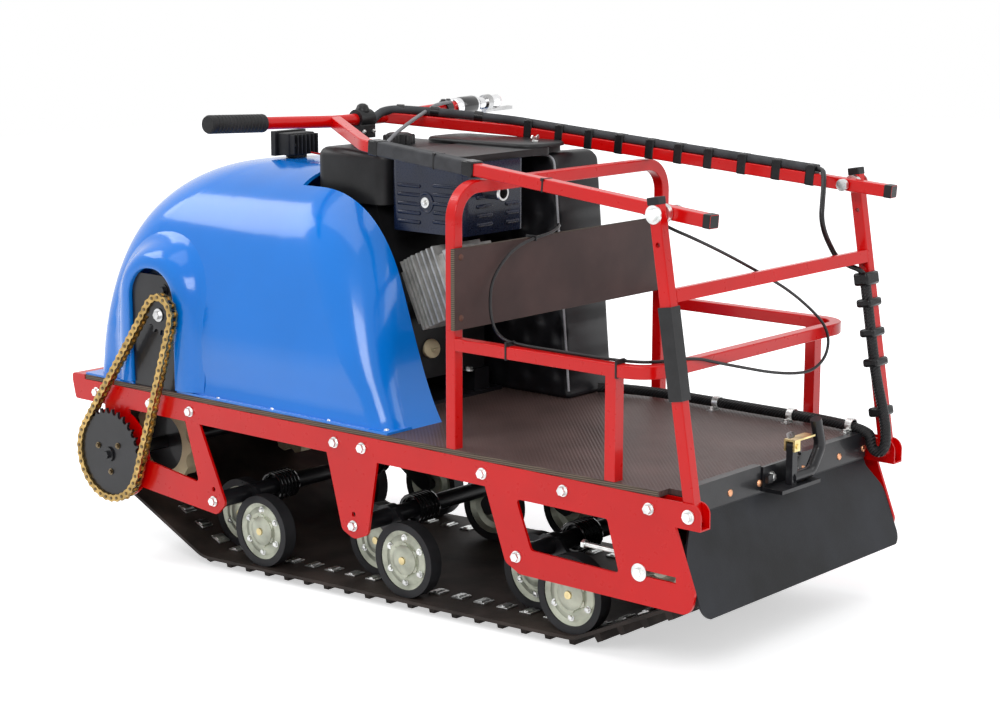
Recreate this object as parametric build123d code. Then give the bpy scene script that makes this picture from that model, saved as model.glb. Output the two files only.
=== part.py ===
from build123d import *
from math import atan, atan2, cos, degrees, hypot, pi, radians, sin, sqrt, tan
import os

# A tracked snow tug: an engine and a deck over one wide rubber track, steered from behind with a folding
# handle. Everything is laid out in the deck's own frame and is tipped nose up at the end, as it parks.
# Millimetres, +X forward, +Y to the left, +Z up. In the deck's frame x is 0 at the column's pivot bolt,
# y is 0 on the centre plane and z is 0 at the rails' row of bolts.

os.makedirs("parts", exist_ok=True)
pieces = {}

# Frame: its width follows the belt's, with a running clearance to the bracket plates
BELT_W = 500.0
BELT_CLEAR = 35.0
PLATE = 5.0
HALF_W = BELT_W / 2 + BELT_CLEAR + PLATE
RAIL_W = 25.0
RAIL_H = 40.0
RAIL_WALL = 2.5
RAIL_REAR = -22.0
RAIL_FRONT = 1427.0
RAIL_TOP = RAIL_H / 2
RAIL_BOTTOM = -RAIL_H / 2
RAIL_IN = HALF_W - RAIL_W
RAIL_MID = HALF_W - RAIL_W / 2
NOSE_FRONT = RAIL_FRONT + 14
SHEET_BEND = 1.0
TUBE = 20.0
BOLT_ROW = [RAIL_FRONT - 58, 1214.0, 1106.0, 737.0, 672.0, 404.0, 238.0, 72.5]

# Deck
DECK_T = 9.0
DECK_TOP = RAIL_TOP + DECK_T
DECK_REAR = 28.0
DECK_FRONT = RAIL_FRONT - 22
DECK_HALF = HALF_W - 2
NOTCH_X = 56.0
STRIP_T = 3.0
STRIP_DROP = 43.0
FLAP_T = 4.0
FLAP_FOOT = (-29.0, -157.0)
FLAP_HALF = HALF_W - 6
FLAP_NECK = HALF_W - 40

# Ground and track
GROUND_SLOPE = 0.037
BELT_T = 6.0
LUG_H = 15.0
LUG_W = BELT_W - 40
LUG_T = 14.0
BELT_GAP = 0.3
TRACK_PITCH = 50.77
WHEEL_R = 65.0
IDLER_X = 89.0
IDLER_Z = -102.0
SLOT_H = 10.0
DRIVE_X = 1313.0
DRIVE_Z = -108.0
DRIVE_TEETH = 10
DRIVE_R = DRIVE_TEETH * TRACK_PITCH / (2 * pi)
LOBE_R = 86.0
SPROCKET_Y = BELT_W / 2 - 83

# Bogies: outer wheels trail each pivot, inner wheels lead it
BOGIE_ARM = 67.0
WHEEL_W = 26.0
OUTER_FACE = BELT_W / 2 - 10
INNER_FACE = OUTER_FACE - 74
TYRE_T = 13.0
AXLE_R = 10.0
PIVOT_TUBE_R = 15.0
BOGIES = [  # pivot x, pivot z
    (1047.0, -157.0),
    (694.0, -139.0),
    (332.0, -124.0),
]

# Chain drive on the left
CHAIN_Y = HALF_W + 18
CHAIN_PITCH = 15.875
LINK_H = 7.3
LINK_WAIST = 5.0
ROLLER_R = 5.0
TOOTH_UP = 4.0
BIG_TEETH = 33
SMALL_TEETH = 13
CHAIN_LINKS = 64
BIG_R = BIG_TEETH * CHAIN_PITCH / (2 * pi)
SMALL_R = SMALL_TEETH * CHAIN_PITCH / (2 * pi)
JACK_WALL_Y = HALF_W - 6
ARCH_X = 1205.0
JACK_TURN = radians(118.7)

# Steering column and handle
UPRIGHT_LEAN = radians(9.43)
PIN_UP = 449.0
UPRIGHT_END = 474.0
UPRIGHT_FOOT = -12.0
CROSS_UP = 327.0
HANDLE_RISE = radians(4.6)
HANDLE_Y = RAIL_MID - 30.5
HANDLE_BACK = -84.0
HANDLE_BEND = 676.0
HANDLE_BEND_Y = HANDLE_Y - 52
HANDLE_TIP = (950.0, 66.0, 518.0)
PIVOT_R = 5.0
RUN_FIT = 0.05
POST_HALF = 9.5
SLEEVE_UP = (172.0, 312.0)
BAR_R = 11.0
BAR_TIP = (942.0, 372.0, 532.0)
GRIP_LEN = 125.0
HANDLE_SLEEVE = (408.0, 655.0)

# Hood and engine
HOOD_T = 4.0
HOOD = [  # z, rear x, front x, inset from the frame's side, corner radius
    (DECK_TOP, 618.0, 1388.0, 7.0, 45.0),
    (110.0, 658.0, 1392.0, 13.0, 60.0),
    (200.0, 690.0, 1390.0, 24.0, 85.0),
    (280.0, 717.0, 1378.0, 43.0, 110.0),
    (340.0, 740.0, 1352.0, 66.0, 130.0),
    (385.0, 762.0, 1314.0, 102.0, 135.0),
    (416.0, 785.0, 1260.0, 150.0, 115.0),
    (438.0, 850.0, 1130.0, 228.0, 50.0),
]
COVER_FRONT = 1010.0
CRANK = (835.0, 178.0)
CYLINDER_TILT = radians(25)
CASE_R = 108.0
BLOCK_TOP = 384.7

# Hoop, guard rail and hitch
POST_Y = RAIL_MID
HOOP_X = 475.0
HOOP_TOP = 460.0
BOARD_T = 9.0
GUARD_Z = 201.0
GUARD_REAR = 88.0
GUARD_POST = 150.0
HITCH_X = 2.0
LATCH_Y = 11.0
LATCH_Z = 58.0
LATCH_PIN_R = 4.0

# Wiring
LOOM_R = 9.0
CLIP_T = 2.0
LOOM_Z = DECK_TOP + LOOM_R + CLIP_T
LOOM_Y = -(HALF_W - 34)


def wheel_z(x):
    return -175.5 - GROUND_SLOPE * x


def box(x0, x1, y0, y1, z0, z1):
    return Pos((x0 + x1) / 2, (y0 + y1) / 2, (z0 + z1) / 2) * Box(abs(x1 - x0), abs(y1 - y0), abs(z1 - z0))


def rod_y(x, z, y0, y1, radius):
    """A round bar along Y."""
    return Pos(x, (y0 + y1) / 2, z) * Rot(90, 0, 0) * Cylinder(radius, abs(y1 - y0))


def ring_y(x, z, y0, y1, outer, inner):
    return rod_y(x, z, y0, y1, outer) - rod_y(x, z, min(y0, y1) - 1, max(y0, y1) + 1, inner)


def hex_y(x, z, y0, y1, flats):
    """A bolt head or nut along Y."""
    return Pos(x, max(y0, y1), z) * Rot(90, 0, 0) * extrude(RegularPolygon(flats / sqrt(3), 6), amount=abs(y1 - y0))


def slab(outline, y0, y1, radii=None):
    """An upright plate: an outline in X and Z, made solid from y0 to y1."""
    corners = [(x, max(y0, y1), z) for x, z in outline]
    if radii:
        edge = FilletPolyline(*corners, radius=radii, close=True)
    else:
        edge = Polyline(*corners, close=True)
    return extrude(make_face(edge), amount=abs(y1 - y0), dir=(0, -1, 0))


def bent_bar(points, radii, section):
    """A bar along straight runs joined by arcs."""
    path = FilletPolyline(*points, radius=radii) if len(points) > 2 else Polyline(*points)
    start = Plane(origin=path @ 0, z_dir=path % 0)
    return sweep(start * section, path=path)


def square_bar(points, radii):
    """A square tube with closed ends whose flat sides stay upright."""
    path = FilletPolyline(*points, radius=radii) if len(points) > 2 else Polyline(*points)
    along = path % 0
    across = Vector(0, 0, 1) if abs(along.Z) < 0.9 else Vector(0, 1, 0)
    start = Plane(origin=path @ 0, x_dir=across.cross(along), z_dir=along)
    return sweep(start * RectangleRounded(TUBE, TUBE, 2), path=path)


def other_side(solid):
    return mirror(solid, about=Plane.XZ)


def keep(name, *solids):
    flat = []
    for solid in solids:
        flat += list(solid.solids())
    pieces[name] = flat


def frame_rails():
    for side, name in ((1, "rail_left"), (-1, "rail_right")):
        outer = slab(
            [(RAIL_REAR, RAIL_BOTTOM), (RAIL_FRONT, RAIL_BOTTOM), (RAIL_FRONT, RAIL_TOP), (RAIL_REAR, RAIL_TOP)],
            RAIL_IN, HALF_W, [0.5, 0.5, SHEET_BEND, 18.0],
        )
        hollow = box(
            RAIL_REAR - 1, RAIL_FRONT + 1,
            RAIL_IN + RAIL_WALL, HALF_W - RAIL_WALL,
            RAIL_BOTTOM + RAIL_WALL, RAIL_TOP + 1,
        )
        rail = outer - hollow - rod_y(0, 0, RAIL_IN - 1, HALF_W + 1, PIVOT_R + 0.1)
        keep(name, rail if side == 1 else other_side(rail))


def nose():
    """The bent sheet across the front, its top lip over the rails' ends."""
    face = [
        (RAIL_FRONT, RAIL_BOTTOM), (NOSE_FRONT - 8, RAIL_BOTTOM), (NOSE_FRONT, RAIL_TOP - 6),
        (NOSE_FRONT, DECK_TOP), (DECK_FRONT, DECK_TOP), (DECK_FRONT, RAIL_TOP), (RAIL_FRONT, RAIL_TOP),
    ]
    sheet = slab(face, -HALF_W, HALF_W, [1.0, 6.0, 8.0, 6.0, 1.0, 1.0, SHEET_BEND])
    pocket = box(RAIL_FRONT - 1, NOSE_FRONT - 6, -RAIL_IN, RAIL_IN, RAIL_BOTTOM - 1, RAIL_TOP - 2)
    keep("nose_plate", sheet - pocket)


def deck():
    board = box(DECK_REAR, DECK_FRONT, -DECK_HALF, DECK_HALF, RAIL_TOP, DECK_TOP)
    for side in (1, -1):
        board -= box(DECK_REAR - 1, NOTCH_X, side * (RAIL_IN - 3), side * HALF_W, RAIL_TOP - 1, DECK_TOP + 1)
    keep("deck_board", board)


def rear_edge():
    """The angle strip over the deck's rear edge, in two lengths beside the hitch, and the mud flap under it."""
    strips = []
    for y0, y1 in ((62.0, FLAP_NECK), (-FLAP_NECK, -52.0)):
        upright = box(DECK_REAR - STRIP_T, DECK_REAR, y0, y1, DECK_TOP + STRIP_T - STRIP_DROP, DECK_TOP + STRIP_T)
        cap = box(DECK_REAR, DECK_REAR + 12, y0, y1, DECK_TOP, DECK_TOP + STRIP_T)
        strips.append(upright + cap)
    keep("edge_strip", *strips)
    top_x = DECK_REAR + 0.3
    hang = [  # x, z
        (top_x, RAIL_TOP - 2), (top_x + FLAP_T, RAIL_TOP - 2), (top_x + FLAP_T, -14.0),
        (FLAP_FOOT[0] + FLAP_T, FLAP_FOOT[1]), (FLAP_FOOT[0], FLAP_FOOT[1]), (top_x, -15.0),
    ]
    sheet = slab(hang, -FLAP_HALF, FLAP_HALF)
    face = [
        (-FLAP_HALF, FLAP_FOOT[1] - 1), (FLAP_HALF, FLAP_FOOT[1] - 1), (FLAP_HALF, -66.0),
        (FLAP_NECK + 2, -26.0), (FLAP_NECK, RAIL_TOP), (-FLAP_NECK, RAIL_TOP), (-FLAP_NECK - 2, -26.0),
        (-FLAP_HALF, -66.0),
    ]
    corners = [22.0, 22.0, 40.0, 10.0, 1.0, 1.0, 10.0, 40.0]
    edge = FilletPolyline(*[(-60, y, z) for y, z in face], radius=corners, close=True)
    keep("mud_flap", sheet & extrude(make_face(edge), amount=140, dir=(1, 0, 0)))


def front_bracket():
    outline = [  # x, z, corner radius
        (1082, -20, 0.5), (1120, -20, 0.5), (1086, -129, 6), (1262, -106, 4), (1300, -160, 4),
        (1040, -181, 14), (1016, -158, 12),
    ]
    plate = slab([(x, z) for x, z, _ in outline], HALF_W - PLATE, HALF_W, [float(r) for _, _, r in outline])
    lobe = rod_y(DRIVE_X, DRIVE_Z, HALF_W - PLATE, HALF_W, LOBE_R)
    web = slab([(DRIVE_X - 34, -30), (DRIVE_X + 34, -30), (DRIVE_X + 34, -20), (DRIVE_X - 34, -20)], HALF_W - PLATE, HALF_W)
    plate = plate + lobe + web
    plate -= rod_y(BOGIES[0][0], BOGIES[0][1] + 22, HALF_W - 6, HALF_W + 1, 4.5)
    return plate - rod_y(DRIVE_X, DRIVE_Z, HALF_W - 6, HALF_W + 1, 26.0)


def middle_bracket():
    outline = [(757, -20, 0.5), (638, -20, 0.5), (661, -150, 14), (693, -163, 24), (722, -150, 14)]
    plate = slab([(x, z) for x, z, _ in outline], HALF_W - PLATE, HALF_W, [float(r) for _, _, r in outline])
    return plate - rod_y(BOGIES[1][0], BOGIES[1][1] + 20, HALF_W - 6, HALF_W + 1, 4.5)


def rear_bracket():
    outline = [
        (399, -20, 0.5), (24, -20, 0.5), (-14, -118, 12), (-8, -152, 22), (326, -152, 14), (356, -137, 16),
    ]
    window = [(334, -30, 5), (152, -30, 5), (128, -112, 5), (303, -109, 8)]
    plate = slab([(x, z) for x, z, _ in outline], HALF_W - PLATE, HALF_W, [float(r) for _, _, r in outline])
    plate -= slab([(x, z) for x, z, _ in window], HALF_W - 6, HALF_W + 1, [float(r) for _, _, r in window])
    return plate - box(
        IDLER_X - 68, IDLER_X + 16, HALF_W - PLATE - 1, HALF_W + 1, IDLER_Z - SLOT_H / 2, IDLER_Z + SLOT_H / 2,
    )


def brackets():
    for name, plate in (
        ("front_brackets", front_bracket()),
        ("middle_brackets", middle_bracket()),
        ("rear_brackets", rear_bracket()),
    ):
        keep(name, plate, other_side(plate))


def bolt_head(x, z, y, washer=9.5):
    """A bolt head on its washer, seated on a face at y."""
    return rod_y(x, z, y, y + 2, washer) + hex_y(x, z, y + 2, y + 8, 13.0)


def frame_bolts():
    heads = []
    for x in BOLT_ROW:
        heads.append(bolt_head(x, 0.0, HALF_W))
        heads.append(other_side(bolt_head(x, 0.0, HALF_W)))
    for x, z in BOGIES:
        heads.append(bolt_head(x, z, HALF_W))
        heads.append(other_side(bolt_head(x, z, HALF_W)))
    keep("frame_bolts", *heads)


def tangents(rounds):
    """Straight runs between neighbouring circles, all on the outside, from one round to the next."""
    runs = []
    for i, (x, z, r) in enumerate(rounds):
        x2, z2, r2 = rounds[(i + 1) % len(rounds)]
        gap = hypot(x2 - x, z2 - z)
        ux, uz = (x2 - x) / gap, (z2 - z) / gap
        s = (r - r2) / gap
        c = sqrt(1 - s * s)
        nx, nz = s * ux - c * uz, s * uz + c * ux
        runs.append(((x + r * nx, z + r * nz), (x2 + r2 * nx, z2 + r2 * nz)))
    return runs


def turns(rounds):
    """For each round, the angle where the loop meets it and how far it wraps, clockwise."""
    runs = tangents(rounds)
    wraps = []
    for i, (x, z, r) in enumerate(rounds):
        inx, inz = runs[i - 1][1]
        outx, outz = runs[i][0]
        start = atan2(inz - z, inx - x)
        wraps.append((start, (start - atan2(outz - z, outx - x)) % (2 * pi)))
    return wraps


def loop_face(rounds, grow, y):
    wide = [(x, z, r + grow) for x, z, r in rounds]
    edges = []
    for (x, z, r), (start, wrap), (p0, p1) in zip(wide, turns(wide), tangents(wide)):
        ends = [(x + r * cos(start - t * wrap), y, z + r * sin(start - t * wrap)) for t in (0, 0.5, 1)]
        edges.append(ThreePointArc(*ends))
        edges.append(Line((p0[0], y, p0[1]), (p1[0], y, p1[1])))
    return make_face(Wire(edges))


def stations(rounds, count, offset=0.0):
    """Evenly spaced places round a loop: x, z and the way outwards there."""
    spans = []
    for (x, z, r), (start, wrap), (p0, p1) in zip(rounds, turns(rounds), tangents(rounds)):
        spans.append(("arc", r * wrap, (x, z, r, start)))
        spans.append(("run", hypot(p1[0] - p0[0], p1[1] - p0[1]), (p0, p1)))
    total = sum(length for _, length, _ in spans)
    places = []
    for k in range(count):
        s = (offset + k * total / count) % total
        for kind, length, shape in spans:
            if s <= length:
                break
            s -= length
        if kind == "arc":
            x, z, r, start = shape
            turn = start - s / r
            places.append((x + r * cos(turn), z + r * sin(turn), cos(turn), sin(turn)))
        else:
            (x0, z0), (x1, z1) = shape
            ux, uz = (x1 - x0) / length, (z1 - z0) / length
            places.append((x0 + ux * s, z0 + uz * s, -uz, ux))
    return places


def belt_rounds():
    first = BOGIES[0][0] + BOGIE_ARM
    last = BOGIES[2][0] - BOGIE_ARM
    return [
        (DRIVE_X, DRIVE_Z, DRIVE_R),
        (first, wheel_z(first), WHEEL_R),
        (last, wheel_z(last), WHEEL_R),
        (IDLER_X, IDLER_Z, WHEEL_R),
    ]


def loop_length(rounds):
    arcs = sum(r * wrap for (_, _, r), (_, wrap) in zip(rounds, turns(rounds)))
    return arcs + sum(hypot(p1[0] - p0[0], p1[1] - p0[1]) for p0, p1 in tangents(rounds))


def track():
    half = BELT_W / 2
    rounds = belt_rounds()
    belt = extrude(loop_face(rounds, BELT_T, half), amount=BELT_W, dir=(0, -1, 0))
    belt -= extrude(loop_face(rounds, BELT_GAP, half + 1), amount=BELT_W + 2, dir=(0, -1, 0))
    count = round(loop_length(rounds) / TRACK_PITCH)
    lugs = []
    for x, z, nx, nz in stations(rounds, count):
        foot = Plane(origin=(x + nx * (BELT_T - 1), 0, z + nz * (BELT_T - 1)), x_dir=(0, 1, 0), z_dir=(nx, 0, nz))
        lugs.append(extrude(foot * Rectangle(LUG_W, LUG_T), amount=LUG_H + 1, taper=6))
    keep("track_belt", belt + lugs)
    print("track links", count, "pitch", round(loop_length(rounds) / count, 2))


def jack_centre():
    """The small sprocket's place, so that the chain closes on a whole number of links."""
    gap = 300.0
    for _ in range(30):
        x = DRIVE_X + gap * cos(JACK_TURN)
        z = DRIVE_Z + gap * sin(JACK_TURN)
        rounds = [(DRIVE_X, DRIVE_Z, BIG_R), (x, z, SMALL_R)]
        gap += (CHAIN_LINKS * CHAIN_PITCH - loop_length(rounds)) / 2
    return x, z, rounds


def sprocket(x, z, radius, teeth, turn, y0, y1, bore):
    """A toothed disc whose tooth gaps hold the chain's rollers and widen outwards to pointed teeth."""
    disc = rod_y(x, z, y0, y1, radius + TOOTH_UP)
    gaps = []
    for k in range(teeth):
        a = turn + k * 2 * pi / teeth
        for out, grow in ((0.0, 0.5), (3.0, 1.7)):
            far = radius + out
            gaps.append(rod_y(x + far * cos(a), z + far * sin(a), y0 - 1, y1 + 1, ROLLER_R + grow))
    return disc - gaps - rod_y(x, z, y0 - 1, y1 + 1, bore)


def chain_drive():
    jx, jz, rounds = jack_centre()
    start, wrap = turns(rounds)[0]
    pins = stations(rounds, CHAIN_LINKS, BIG_R * wrap / 2)
    rows = []
    for low, high in ((CHAIN_Y + 3.5, CHAIN_Y + 7.5), (CHAIN_Y - 7.5, CHAIN_Y - 3.5)):
        outer = []
        inner = []
        for i, (x, z, nx, nz) in enumerate(pins):
            x2, z2 = pins[(i + 1) % CHAIN_LINKS][:2]
            mx, mz = (x + x2) / 2, (z + z2) / 2
            outer += [(x + nx * LINK_H, z + nz * LINK_H), (mx + nx * LINK_WAIST, mz + nz * LINK_WAIST)]
            inner += [(x - nx * LINK_H, z - nz * LINK_H), (mx - nx * LINK_WAIST, mz - nz * LINK_WAIST)]
        rows.append(slab(outer, low, high) - slab(inner, low - 1, high + 1))
    rollers = [hex_y(x, z, CHAIN_Y - 4, CHAIN_Y + 4, 2 * ROLLER_R * cos(pi / 6)) for x, z, _, _ in pins]
    keep("drive_chain", rows[0] + rows[1] + rollers)
    a = start - wrap / 2
    big = sprocket(DRIVE_X, DRIVE_Z, BIG_R, BIG_TEETH, a, CHAIN_Y - 3, CHAIN_Y + 3, 12.5)
    near = min(pins, key=lambda p: hypot(p[0] - jx, p[1] - jz - SMALL_R))
    small_turn = atan2(near[1] - jz, near[0] - jx)
    small = sprocket(jx, jz, SMALL_R, SMALL_TEETH, small_turn, CHAIN_Y - 3, CHAIN_Y + 3, 10.0)
    hub = ring_y(DRIVE_X, DRIVE_Z, HALF_W + 1, CHAIN_Y - 3, 22.0, 12.5)
    keep("chain_sprockets", big + hub, small + ring_y(jx, jz, JACK_WALL_Y + 1, CHAIN_Y - 3, 16.0, 10.0))
    axle = rod_y(DRIVE_X, DRIVE_Z, -HALF_W - 6, CHAIN_Y + 6, 12.5)
    flanges = []
    for side in (1, -1):
        cup = ring_y(DRIVE_X, DRIVE_Z, HALF_W - PLATE - 16, HALF_W - PLATE, 40.0, 12.5)
        flanges.append(cup if side == 1 else other_side(cup))
    keep("drive_axle", axle + bolt_head(DRIVE_X, DRIVE_Z, CHAIN_Y + 5, 14.0))
    keep("axle_bearings", *flanges)
    shaft = rod_y(jx, jz, 120.0, CHAIN_Y + 5, 10.0) + bolt_head(jx, jz, CHAIN_Y + 4, 12.0)
    keep("jackshaft", shaft)
    wall = slab(
        [(ARCH_X - 58, DECK_TOP), (ARCH_X + 58, DECK_TOP), (ARCH_X + 58, jz + 66), (ARCH_X - 58, jz + 66)],
        JACK_WALL_Y - PLATE, JACK_WALL_Y, [0.5, 0.5, 24.0, 24.0],
    )
    wall -= rod_y(jx, jz, JACK_WALL_Y - PLATE - 1, JACK_WALL_Y + 1, 10.2)
    nuts = [bolt_head(jx + 16, jz + up, JACK_WALL_Y, 11.0) for up in (40.0, -60.0)]
    foot = box(ARCH_X - 58, ARCH_X + 58, JACK_WALL_Y - 45, JACK_WALL_Y - PLATE, DECK_TOP, DECK_TOP + PLATE)
    keep("jackshaft_plate", wall + foot + nuts)


def track_sprockets():
    """The drive sprockets inside the track, cream plastic on black bolted hubs."""
    rims = []
    hubs = []
    for y in (SPROCKET_Y, -SPROCKET_Y):
        rim = ring_y(DRIVE_X, DRIVE_Z, y - 14, y + 14, DRIVE_R, 56.0)
        gaps = []
        for k in range(DRIVE_TEETH):
            a = 2 * pi * (k + 0.5) / DRIVE_TEETH
            gaps.append(rod_y(DRIVE_X + 90 * cos(a), DRIVE_Z + 90 * sin(a), y - 15, y + 15, 19.0))
        rims.append(rim - gaps)
        hubs.append(ring_y(DRIVE_X, DRIVE_Z, y - 9, y + 9, 56.0, 12.5))
    keep("track_sprockets", *rims)
    keep("sprocket_hubs", *hubs)


def wheel_places():
    """Every wheel inside the track: x, z and the y of its middle, on the left side."""
    places = []
    for x, _ in BOGIES:
        places.append((x - BOGIE_ARM, wheel_z(x - BOGIE_ARM), OUTER_FACE - WHEEL_W / 2))
        places.append((x + BOGIE_ARM, wheel_z(x + BOGIE_ARM), INNER_FACE - WHEEL_W / 2))
    places.append((IDLER_X, IDLER_Z, OUTER_FACE - WHEEL_W / 2))
    places.append((IDLER_X, IDLER_Z, INNER_FACE - WHEEL_W / 2))
    return places


def wheels():
    """Pressed steel discs with rubber tyres."""
    tyres = []
    discs = []
    rim = WHEEL_R - TYRE_T
    for x, z, y in wheel_places():
        tyre = ring_y(x, z, y - WHEEL_W / 2, y + WHEEL_W / 2, WHEEL_R, rim)
        profile = [  # radius, y from the wheel's middle
            (AXLE_R, -8), (22, -8), (22, -3), (34, 1), (44, -3), (rim, -10), (rim, 10),
            (44, 6), (34, 9), (22, 5), (22, 9), (AXLE_R, 9),
        ]
        section = make_face(Polyline(*[(r, dy, 0) for r, dy in profile], close=True))
        disc = Pos(x, y, z) * revolve(section, axis=Axis.Y)
        for solid, group in ((tyre, tyres), (disc, discs)):
            group += [solid, other_side(solid)]
    keep("wheel_tyres", *tyres)
    keep("wheel_discs", *discs)


def bogies():
    """Each pivot tube runs between the brackets and carries rocking arms with the wheels at their ends."""
    tubes = []
    arms = []
    springs = []
    for px, pz in BOGIES:
        tubes.append(rod_y(px, pz, -HALF_W + PLATE, HALF_W - PLATE, PIVOT_TUBE_R))
        for tilt, face in ((-1, OUTER_FACE), (1, INNER_FACE)):
            wx = px + tilt * BOGIE_ARM
            wz = wheel_z(wx)
            plate_y = face - WHEEL_W - 4
            arm = slab(
                [(px - 20 * tilt, pz + 17), (px + 20 * tilt, pz + 17), (wx + 15 * tilt, wz + 6), (wx, wz - 16),
                 (wx - 24 * tilt, wz - 6), (px - 22 * tilt, pz - 17)],
                plate_y - 8, plate_y, [8.0, 8.0, 12.0, 10.0, 14.0, 10.0],
            )
            arm -= rod_y(px, pz, plate_y - 9, plate_y + 1, PIVOT_TUBE_R)
            arm += ring_y(px, pz, plate_y - 20, plate_y, PIVOT_TUBE_R + 5, PIVOT_TUBE_R)
            arm += rod_y(wx, wz, plate_y - 1, face - 2, AXLE_R)
            arms += [arm, other_side(arm)]
        coil = ring_y(px, pz, INNER_FACE + 12, OUTER_FACE - WHEEL_W - 28, 26.0, PIVOT_TUBE_R + 0.3)
        springs += [coil, other_side(coil)]
    keep("bogie_tubes", *tubes)
    keep("bogie_arms", *arms)
    keep("bogie_springs", *springs)


def idler():
    axle = rod_y(IDLER_X, IDLER_Z, -HALF_W + PLATE, HALF_W - PLATE, AXLE_R)
    axle += rod_y(IDLER_X, IDLER_Z, -HALF_W, HALF_W, SLOT_H / 2 - 0.3)
    head = bolt_head(IDLER_X, IDLER_Z, HALF_W, 14.0)
    keep("idler_axle", axle + head + other_side(head))
    screws = []
    for side in (1, -1):
        screw_y = HALF_W - PLATE - 13
        lug = box(IDLER_X + 34, IDLER_X + 40, screw_y - 10, HALF_W - PLATE, IDLER_Z - 12, IDLER_Z + 30)
        screw = Pos(IDLER_X + 70, screw_y, IDLER_Z + 18) * Rot(0, 90, 0) * Cylinder(4.0, 96)
        head = Pos(IDLER_X + 117, screw_y, IDLER_Z + 18) * Rot(0, 90, 0) * extrude(RegularPolygon(7.5, 6), amount=6)
        solid = lug + screw + head
        screws.append(solid if side == 1 else other_side(solid))
    keep("track_tensioners", *screws)


def hood_section(z, rear, front, inset, radius):
    half = HALF_W - inset
    return Pos((rear + front) / 2, 0, z) * RectangleRounded(front - rear, 2 * half, radius)


def hood():
    """The moulded hood: a domed shell with an arched opening for the chain and an open back."""
    outer = loft([hood_section(*row) for row in HOOD])
    inner = loft([
        hood_section(
            z if z == DECK_TOP else z - HOOD_T,
            rear + HOOD_T, front - HOOD_T, inset + HOOD_T, radius - HOOD_T,
        )
        for z, rear, front, inset, radius in HOOD
    ])
    shell = outer - inner
    opening = [(500, DECK_TOP - 1), (700, DECK_TOP - 1), (836, 384), (952, 400), (952, 460), (500, 460)]
    shell -= slab(opening, -150, 150, [0.5, 0.5, 30.0, 30.0, 0.5, 0.5])
    shell -= box(500, COVER_FRONT + 12, -HALF_W - 10, -100, DECK_TOP - 1, 460)
    arch = slab(
        [(ARCH_X - 61, DECK_TOP - 1), (ARCH_X + 61, DECK_TOP - 1), (ARCH_X + 61, 252), (ARCH_X - 61, 252)],
        120, HALF_W + 10, [0.5, 0.5, 58.0, 58.0],
    )
    rim = slab(
        [(ARCH_X - 69, DECK_TOP), (ARCH_X + 69, DECK_TOP), (ARCH_X + 69, 260), (ARCH_X - 69, 260)],
        120, HALF_W + 1, [0.5, 0.5, 66.0, 66.0],
    )
    flange = box(617, DECK_FRONT - 1, HALF_W - 64, HALF_W - 3, DECK_TOP, DECK_TOP + HOOD_T)
    flange += box(1300, DECK_FRONT - 1, -HALF_W + 3, HALF_W - 3, DECK_TOP, DECK_TOP + HOOD_T)
    whole = shell + (rim - inner) + (flange - inner) - arch
    keep("hood", whole.solids().sort_by(SortBy.VOLUME)[-1])


def side_cover():
    """The quilted black cover over the belt drive on the right."""
    outline = [(566, DECK_TOP), (COVER_FRONT - 40, DECK_TOP), (COVER_FRONT, 380), (COVER_FRONT - 50, 430),
               (622, 468), (604, 456)]
    body = slab(outline, -HALF_W + 28, -132, [6.0, 40.0, 30.0, 60.0, 12.0, 8.0])
    keep("side_cover", body)


def engine():
    ux, uz = -cos(CYLINDER_TILT), sin(CYLINDER_TILT)
    low = (CRANK[0] + CASE_R * ux - 5 * uz, CRANK[1] + CASE_R * uz + 5 * ux)
    high = (CRANK[0] + CASE_R * ux + 112 * uz, CRANK[1] + CASE_R * uz - 112 * ux)
    foot = DECK_TOP + 46
    block = slab([(low[0], foot), low, high, (high[0] + 20, BLOCK_TOP), (915, BLOCK_TOP), (915, foot)], -95, 112)
    block += rod_y(830, 175, 112, 165, 95)
    keep("engine_block", block)
    mount = box(720, 930, -128, 130, DECK_TOP, DECK_TOP + 6)
    mount += box(728, 920, -100, -60, DECK_TOP + 6, DECK_TOP + 45.7)
    mount += box(728, 920, 70, 110, DECK_TOP + 6, DECK_TOP + 45.7)
    keep("engine_mount", mount)
    lean = Plane(origin=(CRANK[0], 50, CRANK[1]), x_dir=(0, 1, 0), z_dir=(ux, 0, uz))
    barrel = lean * (Pos(0, 0, CASE_R + 11) * Box(100, 96, 22))
    head = barrel
    for k in range(8):
        head += lean * (Pos(0, 0, 128 + k * 11) * Box(140 - 4 * abs(k - 3), 126, 4))
        head += lean * (Pos(0, 0, 133.5 + k * 11) * Box(104, 92, 11))
    head += lean * (Pos(0, 0, 228) * Box(104, 100, 22))
    keep("cylinder_head", head)
    guard = box(593, 761, -39, 122, 346, 468)
    guard = fillet(guard.edges().filter_by(Axis.Z), 14)
    keep("muffler_guard", guard)
    keep("exhaust_stub", Pos(581, 35, 416) * Rot(0, 90, 0) * (Cylinder(12, 24) - Cylinder(9, 30)))
    tank = box(775, 944, -128, 125, BLOCK_TOP + 0.3, 478)
    tank = fillet(tank.edges(), 8)
    cap = Pos(868, -14, 488) * Cylinder(30, 20)
    keep("fuel_tank", tank + cap)
    shroud = fillet(box(604, 774.7, -128, 112, 468, 480).edges().filter_by(Axis.Z), 16)
    keep("top_shroud", shroud)


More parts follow.
